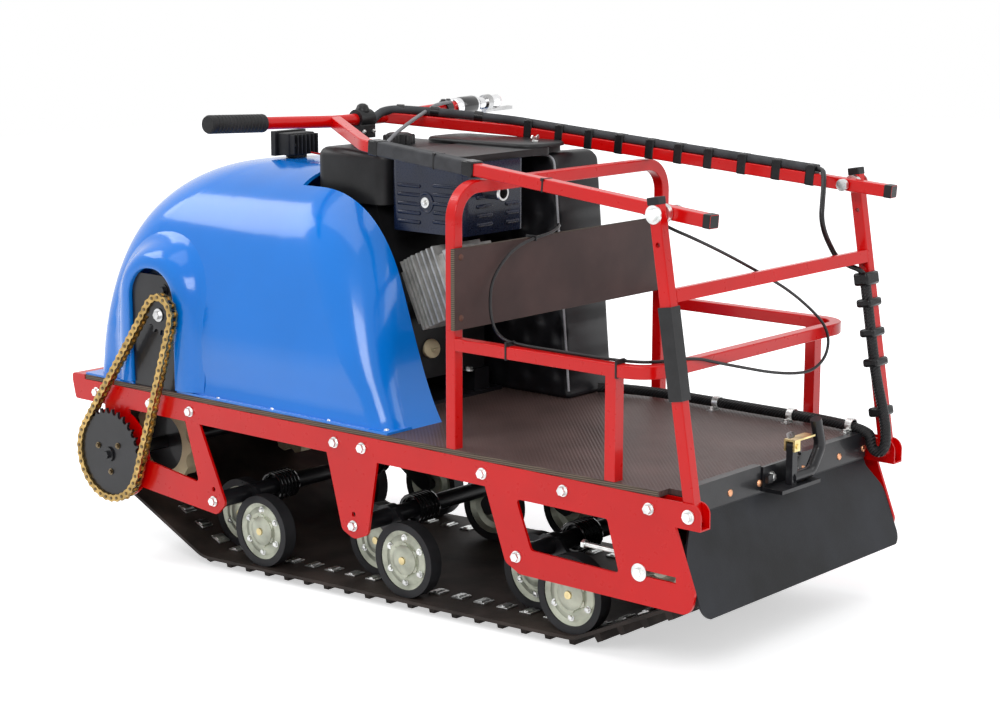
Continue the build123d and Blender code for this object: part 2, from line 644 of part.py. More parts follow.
def hoop():
    """The square-tube hoop behind the engine, with the plywood board across its rear face."""
    top = HOOP_TOP - TUBE / 2
    arch = square_bar(
        [(HOOP_X, POST_Y, DECK_TOP), (HOOP_X, POST_Y, top), (HOOP_X, -POST_Y, top), (HOOP_X, -POST_Y, DECK_TOP)],
        [50.0, 50.0],
    )
    keep("hoop", arch)
    face = HOOP_X - TUBE / 2
    board = box(face - BOARD_T, face, -POST_Y + 8, POST_Y + 12, 243, 371)
    keep("back_board", board)


def guard_rail():
    """The U-shaped rail round the deck on two posts, welded to the hoop."""
    z = GUARD_Z
    front = HOOP_X - TUBE / 2
    corners = [(front, POST_Y, z), (GUARD_REAR, POST_Y, z), (GUARD_REAR, -POST_Y, z), (front, -POST_Y, z)]
    rail = square_bar(corners, [45.0, 45.0])
    for side in (1, -1):
        rail += box(GUARD_POST - TUBE / 2, GUARD_POST + TUBE / 2, side * POST_Y - TUBE / 2, side * POST_Y + TUBE / 2,
                    DECK_TOP, z)
    keep("guard_rail", rail)


def rod_x(y, z, x0, x1, radius):
    return Pos((x0 + x1) / 2, y, z) * Rot(0, 90, 0) * Cylinder(radius, abs(x1 - x0))


def hitch():
    """A bent hook on a base plate at the deck's rear edge, closed by a sprung latch plate."""
    back = DECK_REAR
    base = box(-14, back, -50, 60, -10, -4) + box(back - 6, back, -50, 60, -10, DECK_TOP)
    post = box(HITCH_X - 6, HITCH_X + 6, LATCH_Y - 7, LATCH_Y + 7, -4, LATCH_Z)
    post += rod_x(LATCH_Y, LATCH_Z, HITCH_X - 6, HITCH_X + 6, 7.0)
    post -= rod_x(LATCH_Y, LATCH_Z, HITCH_X - 10, HITCH_X + 10, LATCH_PIN_R + RUN_FIT)
    bar = bent_bar(
        [(HITCH_X, LATCH_Y, 6), (HITCH_X, -44, 6), (HITCH_X, -72, 44), (HITCH_X, -56, 90)], [20.0, 22.0], Circle(9.5),
    )
    bolt = box(back - 14, back - 6, 44, 57, 3, 16)
    keep("hitch_hook", base + post + bar + bolt)
    latch = box(HITCH_X - 10, HITCH_X + 10, -40, LATCH_Y + 8, LATCH_Z + 8, LATCH_Z + 11)
    for side in (1, -1):
        latch += box(HITCH_X + side * 6.6, HITCH_X + side * 10, LATCH_Y - 8, LATCH_Y + 8, LATCH_Z - 8, LATCH_Z + 9)
    latch += rod_x(LATCH_Y, LATCH_Z, HITCH_X - 12, HITCH_X + 12, LATCH_PIN_R)
    keep("hitch_latch", latch)


def column():
    """Two uprights in the rails' rear ends, joined by a cross tube, with the bolts that carry the handle."""
    lean = Rot(0, degrees(UPRIGHT_LEAN), 0)
    half = TUBE / 2
    post = box(-half, half, RAIL_MID - POST_HALF, RAIL_MID + POST_HALF, UPRIGHT_FOOT, UPRIGHT_END)
    post = fillet(post.edges().filter_by(Axis.Z), 2)
    post -= rod_y(0, PIN_UP - 45, -HALF_W, HALF_W, 4.0)
    cross = box(-half, half, -RAIL_MID + POST_HALF, RAIL_MID - POST_HALF, CROSS_UP - half, CROSS_UP + half)
    frame = post + other_side(post) + cross
    frame -= rod_y(0, 0, -HALF_W, HALF_W, PIVOT_R + RUN_FIT)
    frame -= rod_y(0, PIN_UP, -HALF_W, HALF_W, PIVOT_R + 0.1)
    keep("column_frame", lean * frame)
    sleeve = box(-half - 2, half + 2, RAIL_MID - POST_HALF - 2, RAIL_MID + POST_HALF + 2, *SLEEVE_UP)
    sleeve -= box(-half, half, RAIL_MID - POST_HALF, RAIL_MID + POST_HALF, SLEEVE_UP[0] - 1, SLEEVE_UP[1] + 1)
    keep("upright_sleeve", lean * sleeve)
    px, pz = at_column(0, PIN_UP)
    inner = RAIL_MID - POST_HALF
    pin = rod_y(px, pz, HANDLE_Y - 20, HALF_W, PIVOT_R) + rod_y(px, pz, RAIL_MID + POST_HALF, HALF_W, 14.0)
    pin += hex_y(px, pz, HALF_W, HALF_W + 7, 17.0)
    pin += ring_y(px, pz, HANDLE_Y + 12, inner, 14.0, PIVOT_R - 0.5)
    pin += rod_y(px, pz, HANDLE_Y - 20, HANDLE_Y - 13, 10.0)
    keep("handle_pins", pin, other_side(pin))
    bolt = rod_y(0, 0, RAIL_IN - 8, HALF_W, PIVOT_R) + rod_y(0, 0, RAIL_IN - 8, RAIL_IN, 9.0)
    bolt += bolt_head(0, 0, HALF_W, 11.0)
    keep("column_pins", bolt, other_side(bolt))


def at_column(x, up):
    return x * cos(UPRIGHT_LEAN) + up * sin(UPRIGHT_LEAN), up * cos(UPRIGHT_LEAN) - x * sin(UPRIGHT_LEAN)


def handle_point(along):
    """A point on the left side tube's middle line, along from the pin."""
    px, pz = at_column(0, PIN_UP)
    draw_in = (HANDLE_Y - HANDLE_BEND_Y) / HANDLE_BEND
    return px + along, HANDLE_Y - draw_in * along, pz + along * tan(HANDLE_RISE)


def handle():
    """Two side tubes that draw together forward, with a round bar across their tips."""
    px, pz = at_column(0, PIN_UP)
    side = square_bar([handle_point(HANDLE_BACK), handle_point(HANDLE_BEND), HANDLE_TIP], [60.0])
    side -= rod_y(px, pz, HANDLE_Y - TUBE, HANDLE_Y + TUBE, PIVOT_R + RUN_FIT)
    bar = bent_bar([(*HANDLE_TIP[:1], 0, HANDLE_TIP[2]), HANDLE_TIP, BAR_TIP], [120.0], Circle(BAR_R))
    half = side + bar
    keep("handle_frame", half + other_side(half))


def controls():
    """The grip on the left and the throttle's clamp, body and lever on the right."""
    outward = Vector(*BAR_TIP) - Vector(*HANDLE_TIP)
    reach = outward.length

    def on_bar(length, radius, at, bore):
        spot = Plane(origin=Vector(*HANDLE_TIP) + outward.normalized() * at, z_dir=outward)
        return spot * (Pos(0, 0, length / 2) * (Cylinder(radius, length) - Cylinder(bore, length + 2)))

    keep("left_grip", on_bar(GRIP_LEN, 16.0, reach - GRIP_LEN, BAR_R) + on_bar(5, 16.0, reach, 0.01))
    keep("right_control", other_side(on_bar(22, 17.0, 165, BAR_R) + on_bar(80, 14.5, 186, BAR_R)))
    tip = Plane(origin=Vector(*HANDLE_TIP) + outward.normalized() * 266.3, z_dir=outward)
    lever = on_bar(14, 15.0, 266.3, BAR_R) + tip * (Pos(-16, 0, 38) * Box(6, 12, 76))
    keep("throttle_lever", other_side(lever))


def looms():
    """The wiring loom along the deck's right edge and up the right upright, and the wraps on the handle."""
    deck_run = bent_bar(
        [(566, -150, LOOM_Z), (520, -150, LOOM_Z), (450, LOOM_Y, LOOM_Z), (70, LOOM_Y, LOOM_Z)],
        [45.0, 60.0], Circle(LOOM_R),
    )
    keep("deck_loom", deck_run)
    clips = []
    for x in (404.0, 262.0, 118.0):
        ring = rod_x(LOOM_Y, LOOM_Z, x - 6, x + 6, LOOM_R + CLIP_T) - rod_x(LOOM_Y, LOOM_Z, x - 7, x + 7, LOOM_R)
        clips.append(ring)
    keep("loom_clips", *clips)
    lean = Rot(0, degrees(UPRIGHT_LEAN), 0)
    run = bent_bar([(TUBE / 2 + 7, -RAIL_MID, 45), (TUBE / 2 + 7, -RAIL_MID, 300)], None, Circle(6.5))
    keep("column_loom", lean * run)
    p0 = Vector(*handle_point(60))
    p1 = Vector(*handle_point(HANDLE_BEND - 20))
    up = Vector(0, 0, TUBE / 2 + 7)
    wrap = bent_bar([tuple(p0 + up), tuple(p1 + up)], None, Circle(6.5))
    keep("handle_loom", other_side(wrap))
    q0 = Vector(*handle_point(HANDLE_SLEEVE[0]))
    q1 = Vector(*handle_point(HANDLE_SLEEVE[1]))
    spot = Plane(origin=q0, x_dir=Vector(0, 0, 1).cross(q1 - q0), z_dir=q1 - q0)
    section = RectangleRounded(TUBE + 4, TUBE + 4, 3) - Rectangle(TUBE + 0.2, TUBE + 0.2)
    keep("handle_sleeve", extrude(spot * section, amount=(q1 - q0).length))


def lamp():
    body = box(1092, 1146, -40, 40, 442, 488)
    body += box(1105, 1133, -14, 14, HOOD[-1][0] + 0.3, 442)
    keep("headlamp", body)


for build in (frame_rails, nose, deck, rear_edge, brackets, frame_bolts, track, chain_drive, track_sprockets,
              wheels, bogies, idler, hood, side_cover, engine, hoop, guard_rail, hitch, column, handle, controls,
              looms, lamp):
    build()

TIP = degrees(atan(GROUND_SLOPE))
level = Rot(0, -TIP, 0)
lows = []
highs = []
for solids in pieces.values():
    pieces_box = (level * Compound(children=list(solids))).bounding_box()
    lows.append(pieces_box.min)
    highs.append(pieces_box.max)
low = Vector(min(p.X for p in lows), min(p.Y for p in lows), min(p.Z for p in lows))
high = Vector(max(p.X for p in highs), max(p.Y for p in highs), max(p.Z for p in highs))
place = Pos(-(low.X + high.X) / 2, -(low.Y + high.Y) / 2, -low.Z) * level
for name, solids in pieces.items():
    export_step(Compound(children=[place * solid for solid in solids]), f"parts/{name}.step")
print("shift", (place * Vertex(0, 0, 0)).center(), "size", high - low, "tip", TIP)
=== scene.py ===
# %% [markdown]
# # A tracked snow tug
# The construction comes in finished as a frame: rails, track, engine block, handle. This notebook gives
# it its looks. Every number that places something is written in the machine's own deck frame, in
# millimetres: x forward from the column's pivot bolt, y to the left, z up from the rails' row of bolts.
# The deck is tipped nose up by a little over two degrees, so a small function turns a deck point into
# the row frame, and the pivot bolts themselves say where the deck's zero is.

# %% Frame
import bmesh
import bpy
from math import atan, atan2, cos, hypot, pi, radians, sin, sqrt, tan
from mathutils import Matrix, Vector
from mathutils.bvhtree import BVHTree


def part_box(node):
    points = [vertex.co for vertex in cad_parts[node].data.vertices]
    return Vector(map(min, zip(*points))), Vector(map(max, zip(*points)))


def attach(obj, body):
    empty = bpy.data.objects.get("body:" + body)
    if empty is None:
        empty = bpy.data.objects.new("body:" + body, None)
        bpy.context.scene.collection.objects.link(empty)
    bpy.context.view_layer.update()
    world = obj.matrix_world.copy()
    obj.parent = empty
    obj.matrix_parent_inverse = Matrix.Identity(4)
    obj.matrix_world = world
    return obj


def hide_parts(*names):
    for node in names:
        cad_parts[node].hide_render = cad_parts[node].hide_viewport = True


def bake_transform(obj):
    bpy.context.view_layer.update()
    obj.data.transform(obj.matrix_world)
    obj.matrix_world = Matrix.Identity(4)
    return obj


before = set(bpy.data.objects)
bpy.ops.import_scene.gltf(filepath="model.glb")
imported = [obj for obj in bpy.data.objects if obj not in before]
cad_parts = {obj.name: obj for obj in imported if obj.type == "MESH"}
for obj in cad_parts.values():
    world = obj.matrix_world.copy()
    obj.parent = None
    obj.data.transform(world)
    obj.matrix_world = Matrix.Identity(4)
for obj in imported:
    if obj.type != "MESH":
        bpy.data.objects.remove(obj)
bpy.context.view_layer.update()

GROUND_SLOPE = 0.037
MM = 0.001
low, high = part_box("column_pins")
deck_zero = (Vector(low) + Vector(high)) / 2
TO_ROW = Matrix.Translation(deck_zero) @ Matrix.Rotation(-atan(GROUND_SLOPE), 4, "Y") @ Matrix.Scale(MM, 4)


def at(x, y, z):
    """A deck point in millimetres, as a point of the row frame in metres."""
    return TO_ROW @ Vector((x, y, z))


# %% [markdown]
# ## Camera
# A camera can be aimed by eye or solved from the photograph. Here bolts, clips and edges with known
# places were matched, which gives one place, three angles and a lens. The picture is 1000 by 714, and
# the lens is written for a 36 mm wide film.

# %% Camera
CAMERA_PLACE = (-2.5085, 2.8013, 1.0274)
CAMERA_ANGLES = (80.403, 1.554, -139.352)
CAMERA_LENS = 76.788

camera_data = bpy.data.cameras.new("photo_camera")
camera_data.lens = CAMERA_LENS
camera_data.sensor_width = 36.0
camera_data.dof.use_dof = False
camera = bpy.data.objects.new("photo_camera", camera_data)
camera.location = CAMERA_PLACE
camera.rotation_euler = [radians(a) for a in CAMERA_ANGLES]
bpy.context.collection.objects.link(camera)
bpy.context.scene.camera = camera
print("camera", CAMERA_PLACE, "lens", CAMERA_LENS)

# %% [markdown]
# ## Studio
# The machine stands cut out on white. The floor and the world are white for the camera and for
# reflections, but the light that falls on the object stays at a plain level. A light path node tells
# the two apart, and one helper makes that choice for the world and for the floor alike.

# %% What is seen directly


def seen_directly(tree):
    """A socket that is 1 for what the camera, mirrors and glass see, and 0 for light on other things."""
    path = tree.nodes.new("ShaderNodeLightPath")
    chosen = path.outputs["Is Camera Ray"]
    for ray in ("Is Glossy Ray", "Is Transmission Ray"):
        either = tree.nodes.new("ShaderNodeMath")
        either.operation = "MAXIMUM"
        tree.links.new(chosen, either.inputs[0])
        tree.links.new(path.outputs[ray], either.inputs[1])
        chosen = either.outputs[0]
    return chosen


print("light path helper ready")

# %% [markdown]
# The world gives an even, slightly cool light from all round, and shows as plain white.

# %% World
SKY_COLOUR = (0.93, 0.96, 1.0, 1.0)
SKY_STRENGTH = 0.42

world = bpy.data.worlds.new("studio")
world.use_nodes = True
bpy.context.scene.world = world
tree = world.node_tree
sky = tree.nodes["Background"]
sky.inputs["Color"].default_value = SKY_COLOUR
sky.inputs["Strength"].default_value = SKY_STRENGTH
white = tree.nodes.new("ShaderNodeBackground")
white.inputs["Color"].default_value = (1.0, 1.0, 1.0, 1.0)
white.inputs["Strength"].default_value = 1.0
mix = tree.nodes.new("ShaderNodeMixShader")
tree.links.new(seen_directly(tree), mix.inputs[0])
tree.links.new(sky.outputs[0], mix.inputs[1])
tree.links.new(white.outputs[0], mix.inputs[2])
tree.links.new(mix.outputs[0], tree.nodes["World Output"].inputs[0])
print("world strength", SKY_STRENGTH)

# %% [markdown]
# Four square lamps light it as in a plain studio: a key above the camera, a weaker fill from the rear
# end, one from the front end and one overhead. Large lamps give the shadow a soft edge, and each is
# turned to face the middle of the machine.

# %% Lamps
LAMP_TARGET = Vector((0, 0, 0.35))
LAMPS = [  # name, place, size, watts
    ("key_lamp", (-2.4, 3.2, 3.0), 1.6, 66.0),
    ("fill_lamp", (-3.2, -1.6, 2.2), 2.0, 26.0),
    ("rim_lamp", (2.6, 1.2, 2.8), 1.6, 40.0),
    ("top_lamp", (0.0, 0.2, 3.4), 2.4, 30.0),
]
for name, place, size, watts in LAMPS:
    data = bpy.data.lights.new(name, "AREA")
    data.shape = "SQUARE"
    data.size = size
    data.energy = watts
    lamp = bpy.data.objects.new(name, data)
    lamp.location = place
    lamp.rotation_euler = (LAMP_TARGET - Vector(place)).to_track_quat("-Z", "Y").to_euler()
    bpy.context.collection.objects.link(lamp)
print("lamps", [name for name, *_ in LAMPS])

# %% [markdown]
# The floor is a real surface, so it takes the soft shadow under the track. It also glows, only where it
# is looked at directly: a little near the machine and fully further out, so its edge is lost in white.

# %% Floor
FLOOR_HALF = 12.0
FLOOR_DROP = 0.0005
FLOOR_COLOUR = (0.9, 0.9, 0.9, 1)
NEAR_GLOW, FULL_GLOW = 0.55, 1.0
GLOW_FROM, GLOW_TO = 0.8, 2.6

floor_mesh = bpy.data.meshes.new("floor")
bm = bmesh.new()
bmesh.ops.create_grid(bm, x_segments=1, y_segments=1, size=FLOOR_HALF)
bm.to_mesh(floor_mesh)
bm.free()
floor = bpy.data.objects.new("floor", floor_mesh)
floor.location = (0, 0, -FLOOR_DROP)
bpy.context.collection.objects.link(floor)

floor_paint = bpy.data.materials.new("floor_paint")
floor_paint.use_nodes = True
tree = floor_paint.node_tree
paint = tree.nodes["Principled BSDF"]
paint.inputs["Base Color"].default_value = FLOOR_COLOUR
paint.inputs["Roughness"].default_value = 0.9
paint.inputs["Specular IOR Level"].default_value = 0.0
place = tree.nodes.new("ShaderNodeTexCoord")
far = tree.nodes.new("ShaderNodeVectorMath")
far.operation = "LENGTH"
tree.links.new(place.outputs["Object"], far.inputs[0])
fade = tree.nodes.new("ShaderNodeMapRange")
fade.inputs["From Min"].default_value = GLOW_FROM
fade.inputs["From Max"].default_value = GLOW_TO
fade.inputs["To Min"].default_value = NEAR_GLOW
fade.inputs["To Max"].default_value = FULL_GLOW
tree.links.new(far.outputs["Value"], fade.inputs["Value"])
glow = tree.nodes.new("ShaderNodeMath")
glow.operation = "MULTIPLY"
tree.links.new(seen_directly(tree), glow.inputs[0])
tree.links.new(fade.outputs["Result"], glow.inputs[1])
shine = tree.nodes.new("ShaderNodeEmission")
tree.links.new(glow.outputs[0], shine.inputs["Strength"])
both = tree.nodes.new("ShaderNodeAddShader")
tree.links.new(paint.outputs[0], both.inputs[0])
tree.links.new(shine.outputs[0], both.inputs[1])
tree.links.new(both.outputs[0], tree.nodes["Material Output"].inputs[0])
floor_mesh.materials.append(floor_paint)
bpy.context.scene.view_settings.view_transform = "Standard"
print("floor", 2 * FLOOR_HALF, "m square")

# %% [markdown]
# ## Finishes
# Almost everything here is paint, rubber, moulded plastic or plated steel. One helper makes a
# principled material from a few plain numbers: a colour, how rough it is, and two layers of noise, one
# large for uneven tone and one fine for grain that also makes a slight bump. All noise reads Object
# coordinates, which are metres, so a scale of 40 means marks about 25 mm across.

# %% Finish helper
TONE_EDGES = (0.35, 0.68)
ROUGH_SPREAD = 0.08
COAT_ROUGH = 0.08
GLINT = 0.25
GRAIN_DEPTH = 0.001
finishes = {}


def finish(name, colour, rough, metal, tone, tone_scale, grain, bump, coat=0.0):
    """A procedural material: colour varied by large noise, roughness and bump by fine noise."""
    material = bpy.data.materials.new(name)
    material.use_nodes = True
    tree = material.node_tree
    shader = tree.nodes["Principled BSDF"]
    shader.inputs["Metallic"].default_value = metal
    shader.inputs["Coat Weight"].default_value = coat
    shader.inputs["Coat Roughness"].default_value = COAT_ROUGH
    shader.inputs["Specular IOR Level"].default_value = GLINT
    place = tree.nodes.new("ShaderNodeTexCoord")
    wide = tree.nodes.new("ShaderNodeTexNoise")
    wide.inputs["Scale"].default_value = tone_scale
    wide.inputs["Detail"].default_value = 6.0
    fine = tree.nodes.new("ShaderNodeTexNoise")
    fine.inputs["Scale"].default_value = grain
    fine.inputs["Detail"].default_value = 4.0
    for noise in (wide, fine):
        tree.links.new(place.outputs["Object"], noise.inputs["Vector"])
    ramp = tree.nodes.new("ShaderNodeValToRGB")
    for element, edge, share in zip(ramp.color_ramp.elements, TONE_EDGES, (1.0 - tone, 1.0 + tone)):
        element.position = edge
        element.color = (*[min(1.0, c * share) for c in colour], 1)
    tree.links.new(wide.outputs["Fac"], ramp.inputs["Fac"])
    tree.links.new(ramp.outputs["Color"], shader.inputs["Base Color"])
    gloss = tree.nodes.new("ShaderNodeMapRange")
    gloss.inputs["To Min"].default_value = max(0.02, rough - ROUGH_SPREAD)
    gloss.inputs["To Max"].default_value = min(1.0, rough + ROUGH_SPREAD)
    tree.links.new(fine.outputs["Fac"], gloss.inputs["Value"])
    tree.links.new(gloss.outputs["Result"], shader.inputs["Roughness"])
    relief = tree.nodes.new("ShaderNodeBump")
    relief.inputs["Strength"].default_value = bump
    relief.inputs["Distance"].default_value = GRAIN_DEPTH
    tree.links.new(fine.outputs["Fac"], relief.inputs["Height"])
    tree.links.new(relief.outputs["Normal"], shader.inputs["Normal"])
    finishes[name] = material


def shader_of(name):
    return finishes[name].node_tree.nodes["Principled BSDF"]


print("finish helper ready")

# %% [markdown]
# The finishes stand in one table, so that like things can be compared line by line. Paints are smooth
# with a clear coat, rubbers are rough and uneven in tone, and plated parts are metal with fine grain.

# %% Plain finishes
FINISHES = [  # name, colour, roughness, metal, tone, tone scale, grain, bump, coat
    ("red_paint", (0.66, 0.0, 0.0), 0.3, 0.0, 0.05, 9.0, 90.0, 0.02, 0.25),
    ("blue_plastic", (0.0, 0.2, 0.74), 0.2, 0.0, 0.04, 6.0, 90.0, 0.02, 0.45),
    ("ply_film", (0.062, 0.034, 0.031), 0.5, 0.0, 0.25, 10.0, 900.0, 0.3, 0.0),
    ("black_paint", (0.012, 0.012, 0.014), 0.35, 0.0, 0.3, 20.0, 300.0, 0.08, 0.2),
    ("flap_rubber", (0.010, 0.011, 0.014), 0.5, 0.0, 0.6, 9.0, 500.0, 0.2, 0.0),
    ("belt_rubber", (0.036, 0.027, 0.023), 0.62, 0.0, 0.55, 12.0, 420.0, 0.4, 0.0),
    ("tyre_rubber", (0.02, 0.02, 0.022), 0.55, 0.0, 0.3, 20.0, 400.0, 0.15, 0.0),
    ("zinc_plate", (0.72, 0.73, 0.72), 0.32, 1.0, 0.2, 60.0, 500.0, 0.08, 0.0),
    ("chain_gold", (0.42, 0.28, 0.1), 0.36, 1.0, 0.35, 60.0, 500.0, 0.08, 0.0),
    ("yellow_zinc", (0.72, 0.58, 0.27), 0.33, 1.0, 0.25, 45.0, 400.0, 0.06, 0.0),
    ("cream_plastic", (0.72, 0.62, 0.40), 0.5, 0.0, 0.12, 25.0, 400.0, 0.08, 0.0),
    ("black_vinyl", (0.016, 0.016, 0.018), 0.42, 0.0, 0.4, 18.0, 330.0, 0.6, 0.0),
    ("black_plastic", (0.014, 0.014, 0.015), 0.38, 0.0, 0.3, 25.0, 700.0, 0.15, 0.0),
    ("cast_alloy", (0.52, 0.52, 0.5), 0.42, 0.35, 0.2, 50.0, 700.0, 0.4, 0.0),
    ("guard_paint", (0.006, 0.012, 0.035), 0.28, 0.0, 0.3, 20.0, 400.0, 0.04, 0.25),
    ("bare_steel", (0.5, 0.5, 0.5), 0.3, 1.0, 0.2, 40.0, 500.0, 0.06, 0.0),
    ("cable_black", (0.012, 0.012, 0.013), 0.36, 0.0, 0.3, 40.0, 600.0, 0.1, 0.1),
    ("disc_paint", (0.46, 0.48, 0.39), 0.36, 0.45, 0.25, 30.0, 500.0, 0.08, 0.0),
    ("cast_black", (0.02, 0.02, 0.021), 0.48, 0.3, 0.3, 30.0, 900.0, 0.35, 0.0),
    ("boot_rubber", (0.27, 0.21, 0.17), 0.6, 0.0, 0.2, 30.0, 500.0, 0.1, 0.0),
    ("grip_rubber", (0.018, 0.018, 0.019), 0.58, 0.0, 0.3, 30.0, 700.0, 0.2, 0.0),
    ("black_tape", (0.01, 0.01, 0.011), 0.24, 0.0, 0.3, 30.0, 300.0, 0.12, 0.0),
    ("sleeve_grey", (0.045, 0.046, 0.05), 0.6, 0.0, 0.25, 40.0, 600.0, 0.15, 0.0),
    ("brass_plug", (0.72, 0.6, 0.32), 0.35, 1.0, 0.2, 60.0, 500.0, 0.08, 0.0),
    ("chrome", (0.82, 0.82, 0.83), 0.12, 1.0, 0.08, 60.0, 500.0, 0.02, 0.0),
    ("sheath_grey", (0.22, 0.22, 0.23), 0.5, 0.0, 0.2, 40.0, 500.0, 0.1, 0.0),
    ("piping_grey", (0.42, 0.43, 0.45), 0.4, 0.0, 0.15, 40.0, 500.0, 0.1, 0.0),
    ("wire_red", (0.55, 0.01, 0.01), 0.35, 0.0, 0.1, 40.0, 500.0, 0.05, 0.0),
    ("gloss_black", (0.012, 0.012, 0.013), 0.16, 0.0, 0.2, 40.0, 300.0, 0.03, 0.8),
    ("dark_pin", (0.16, 0.12, 0.07), 0.38, 1.0, 0.2, 60.0, 500.0, 0.08, 0.0),
    ("copper", (0.72, 0.36, 0.2), 0.34, 1.0, 0.2, 60.0, 500.0, 0.08, 0.0),
    ("brown_rivet", (0.12, 0.055, 0.04), 0.5, 0.2, 0.3, 60.0, 500.0, 0.08, 0.0),
]
for row in FINISHES:
    finish(*row)
print("finishes", len(finishes))

# %% [markdown]
# Some finishes follow a pattern. Bands come from a wave texture across one axis, and a mapping node
# turns that axis to where the pattern runs on the object. Two waves that cross at right angles,
# multiplied, raise pads between straight seams. A pattern either drives a second bump, in front of the
# fine grain, or picks the colour.

# %% Pattern helpers


def add_relief(name, height, strength, distance):
    """Puts a second bump in front of the fine grain of a finish."""
    tree = finishes[name].node_tree
    shader = shader_of(name)
    relief = tree.nodes.new("ShaderNodeBump")
    relief.inputs["Strength"].default_value = strength
    relief.inputs["Distance"].default_value = distance
    tree.links.new(height, relief.inputs["Height"])
    tree.links.new(shader.inputs["Normal"].links[0].from_socket, relief.inputs["Normal"])
    tree.links.new(relief.outputs["Normal"], shader.inputs["Normal"])


def waves(name, turn, scale):
    """Bands across a turned x axis, as a height from 0 to 1."""
    tree = finishes[name].node_tree
    place = tree.nodes.new("ShaderNodeTexCoord")
    mapping = tree.nodes.new("ShaderNodeMapping")
    mapping.inputs["Rotation"].default_value = turn
    tree.links.new(place.outputs["Object"], mapping.inputs["Vector"])
    wave = tree.nodes.new("ShaderNodeTexWave")
    wave.wave_type = "BANDS"
    wave.bands_direction = "X"
    wave.inputs["Scale"].default_value = scale
    tree.links.new(mapping.outputs["Vector"], wave.inputs["Vector"])
    return wave.outputs["Fac"]


def crossed_waves(name, axis, scale):
    """Two waves at right angles, turned half way round one axis: pads with straight seams between."""
    tree = finishes[name].node_tree
    pads = tree.nodes.new("ShaderNodeMath")
    pads.operation = "MULTIPLY"
    for socket, degrees in zip(pads.inputs, (45, -45)):
        turn = [radians(degrees) if letter == axis else 0 for letter in "XYZ"]
        tree.links.new(waves(name, turn, scale), socket)
    return pads.outputs[0]


print("pattern helpers ready")

# %% [markdown]
# The split loom is ribbed across: along the deck it follows x, up the column z, and bands at 45 degrees
# serve both runs. A sawn plywood edge shows its layers, so bands across z choose its light and dark
# browns. The belt cover is quilted in diamonds, and the deck's film is pressed with a fine mesh against
# slipping. The deck's film is the back board's film, given a lighter brown as a painted sheen for the
# glancing light on the deck's top. The lamp's lens is clear plastic.

# %% Patterned finishes
finish("loom_ribbed", (0.014, 0.014, 0.015), 0.42, 0.0, 0.3, 40.0, 600.0, 0.08)
add_relief("loom_ribbed", waves("loom_ribbed", (0, radians(45), 0), 72.0), 0.9, 0.0016)
finish("ply_edge", (0.13, 0.1, 0.075), 0.7, 0.0, 0.55, 14.0, 500.0, 0.2)
tree = finishes["ply_edge"].node_tree
layers = waves("ply_edge", (0, radians(90), 0), 100.0)
tree.links.new(layers, next(node for node in tree.nodes if node.type == "VALTORGB").inputs["Fac"])
finish("quilted_vinyl", (0.014, 0.014, 0.016), 0.36, 0.0, 0.3, 18.0, 500.0, 0.15)
add_relief("quilted_vinyl", crossed_waves("quilted_vinyl", "Y", 6.5), 0.9, 0.006)
# The deck's film is the back board's film in a lighter brown: painted sheen for the glancing light on its
# top.
finish("deck_film_painted_sheen", (0.105, 0.068, 0.062), 0.42, 0.0, 0.22, 7.0, 900.0, 0.15)
add_relief("deck_film_painted_sheen", crossed_waves("deck_film_painted_sheen", "Z", 55.0), 0.7, 0.0012)
finish("clear_glass", (0.9, 0.92, 0.93), 0.08, 0.0, 0.02, 10.0, 200.0, 0.0)
shader_of("clear_glass").inputs["Transmission Weight"].default_value = 0.85
print("finishes with the patterned ones", len(finishes))

# %% [markdown]
# ## Dressing the frame
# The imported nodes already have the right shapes. Each gets its finish by name from one short table, so
# that a colour is written once and every piece of that kind follows it.

# %% Node finishes
NODE_FINISH = {
    "red_paint": (
        "rail_left", "rail_right", "nose_plate", "front_brackets", "middle_brackets", "rear_brackets",
        "hoop", "guard_rail", "column_frame", "handle_frame"),
    "blue_plastic": ("hood",),
    # The deck's top gets the film with the painted sheen.
    "deck_film_painted_sheen": ("deck_board",),
    "ply_film": ("back_board",),
    "black_paint": (
        "edge_strip", "drive_axle", "axle_bearings", "jackshaft_plate", "chain_sprockets",
        "sprocket_hubs", "bogie_tubes", "bogie_arms", "bogie_springs", "engine_mount", "hitch_hook"),
    "flap_rubber": ("mud_flap",),
    "belt_rubber": ("track_belt",),
    "tyre_rubber": ("wheel_tyres", "left_grip"),
    "disc_paint": ("wheel_discs",),
    "zinc_plate": (
        "frame_bolts", "idler_axle", "track_tensioners", "handle_pins", "column_pins", "loom_clips"),
    "chain_gold": ("drive_chain",),
    "yellow_zinc": ("hitch_latch",),
    "cream_plastic": ("track_sprockets",),
    "black_vinyl": ("side_cover",),
    "black_plastic": ("engine_block", "fuel_tank", "top_shroud", "headlamp", "right_control"),
    "cast_alloy": ("cylinder_head",),
    "guard_paint": ("muffler_guard",),
    "bare_steel": ("exhaust_stub", "jackshaft", "throttle_lever"),
    "cable_black": ("deck_loom", "column_loom", "upright_sleeve"),
    "sleeve_grey": ("handle_sleeve", "handle_loom"),
}
for finish_name, nodes in NODE_FINISH.items():
    for node in nodes:
        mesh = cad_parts[node].data
        mesh.materials.clear()
        mesh.materials.append(finishes[finish_name])
print("dressed", sum(len(nodes) for nodes in NODE_FINISH.values()), "nodes")

# %% [markdown]
# ## Making pieces
# A small piece is drawn as a bmesh in deck millimetres, from cubes, cones, grids and turned outlines.
# One helper then closes its seams, carries it to the row frame, turns its faces outwards, gives it a
# finish and lets it ride on the body that carries the real piece. The object itself stays at the
# origin, so procedural patterns lie on it as they lie on its neighbours.

# %% Piece helpers


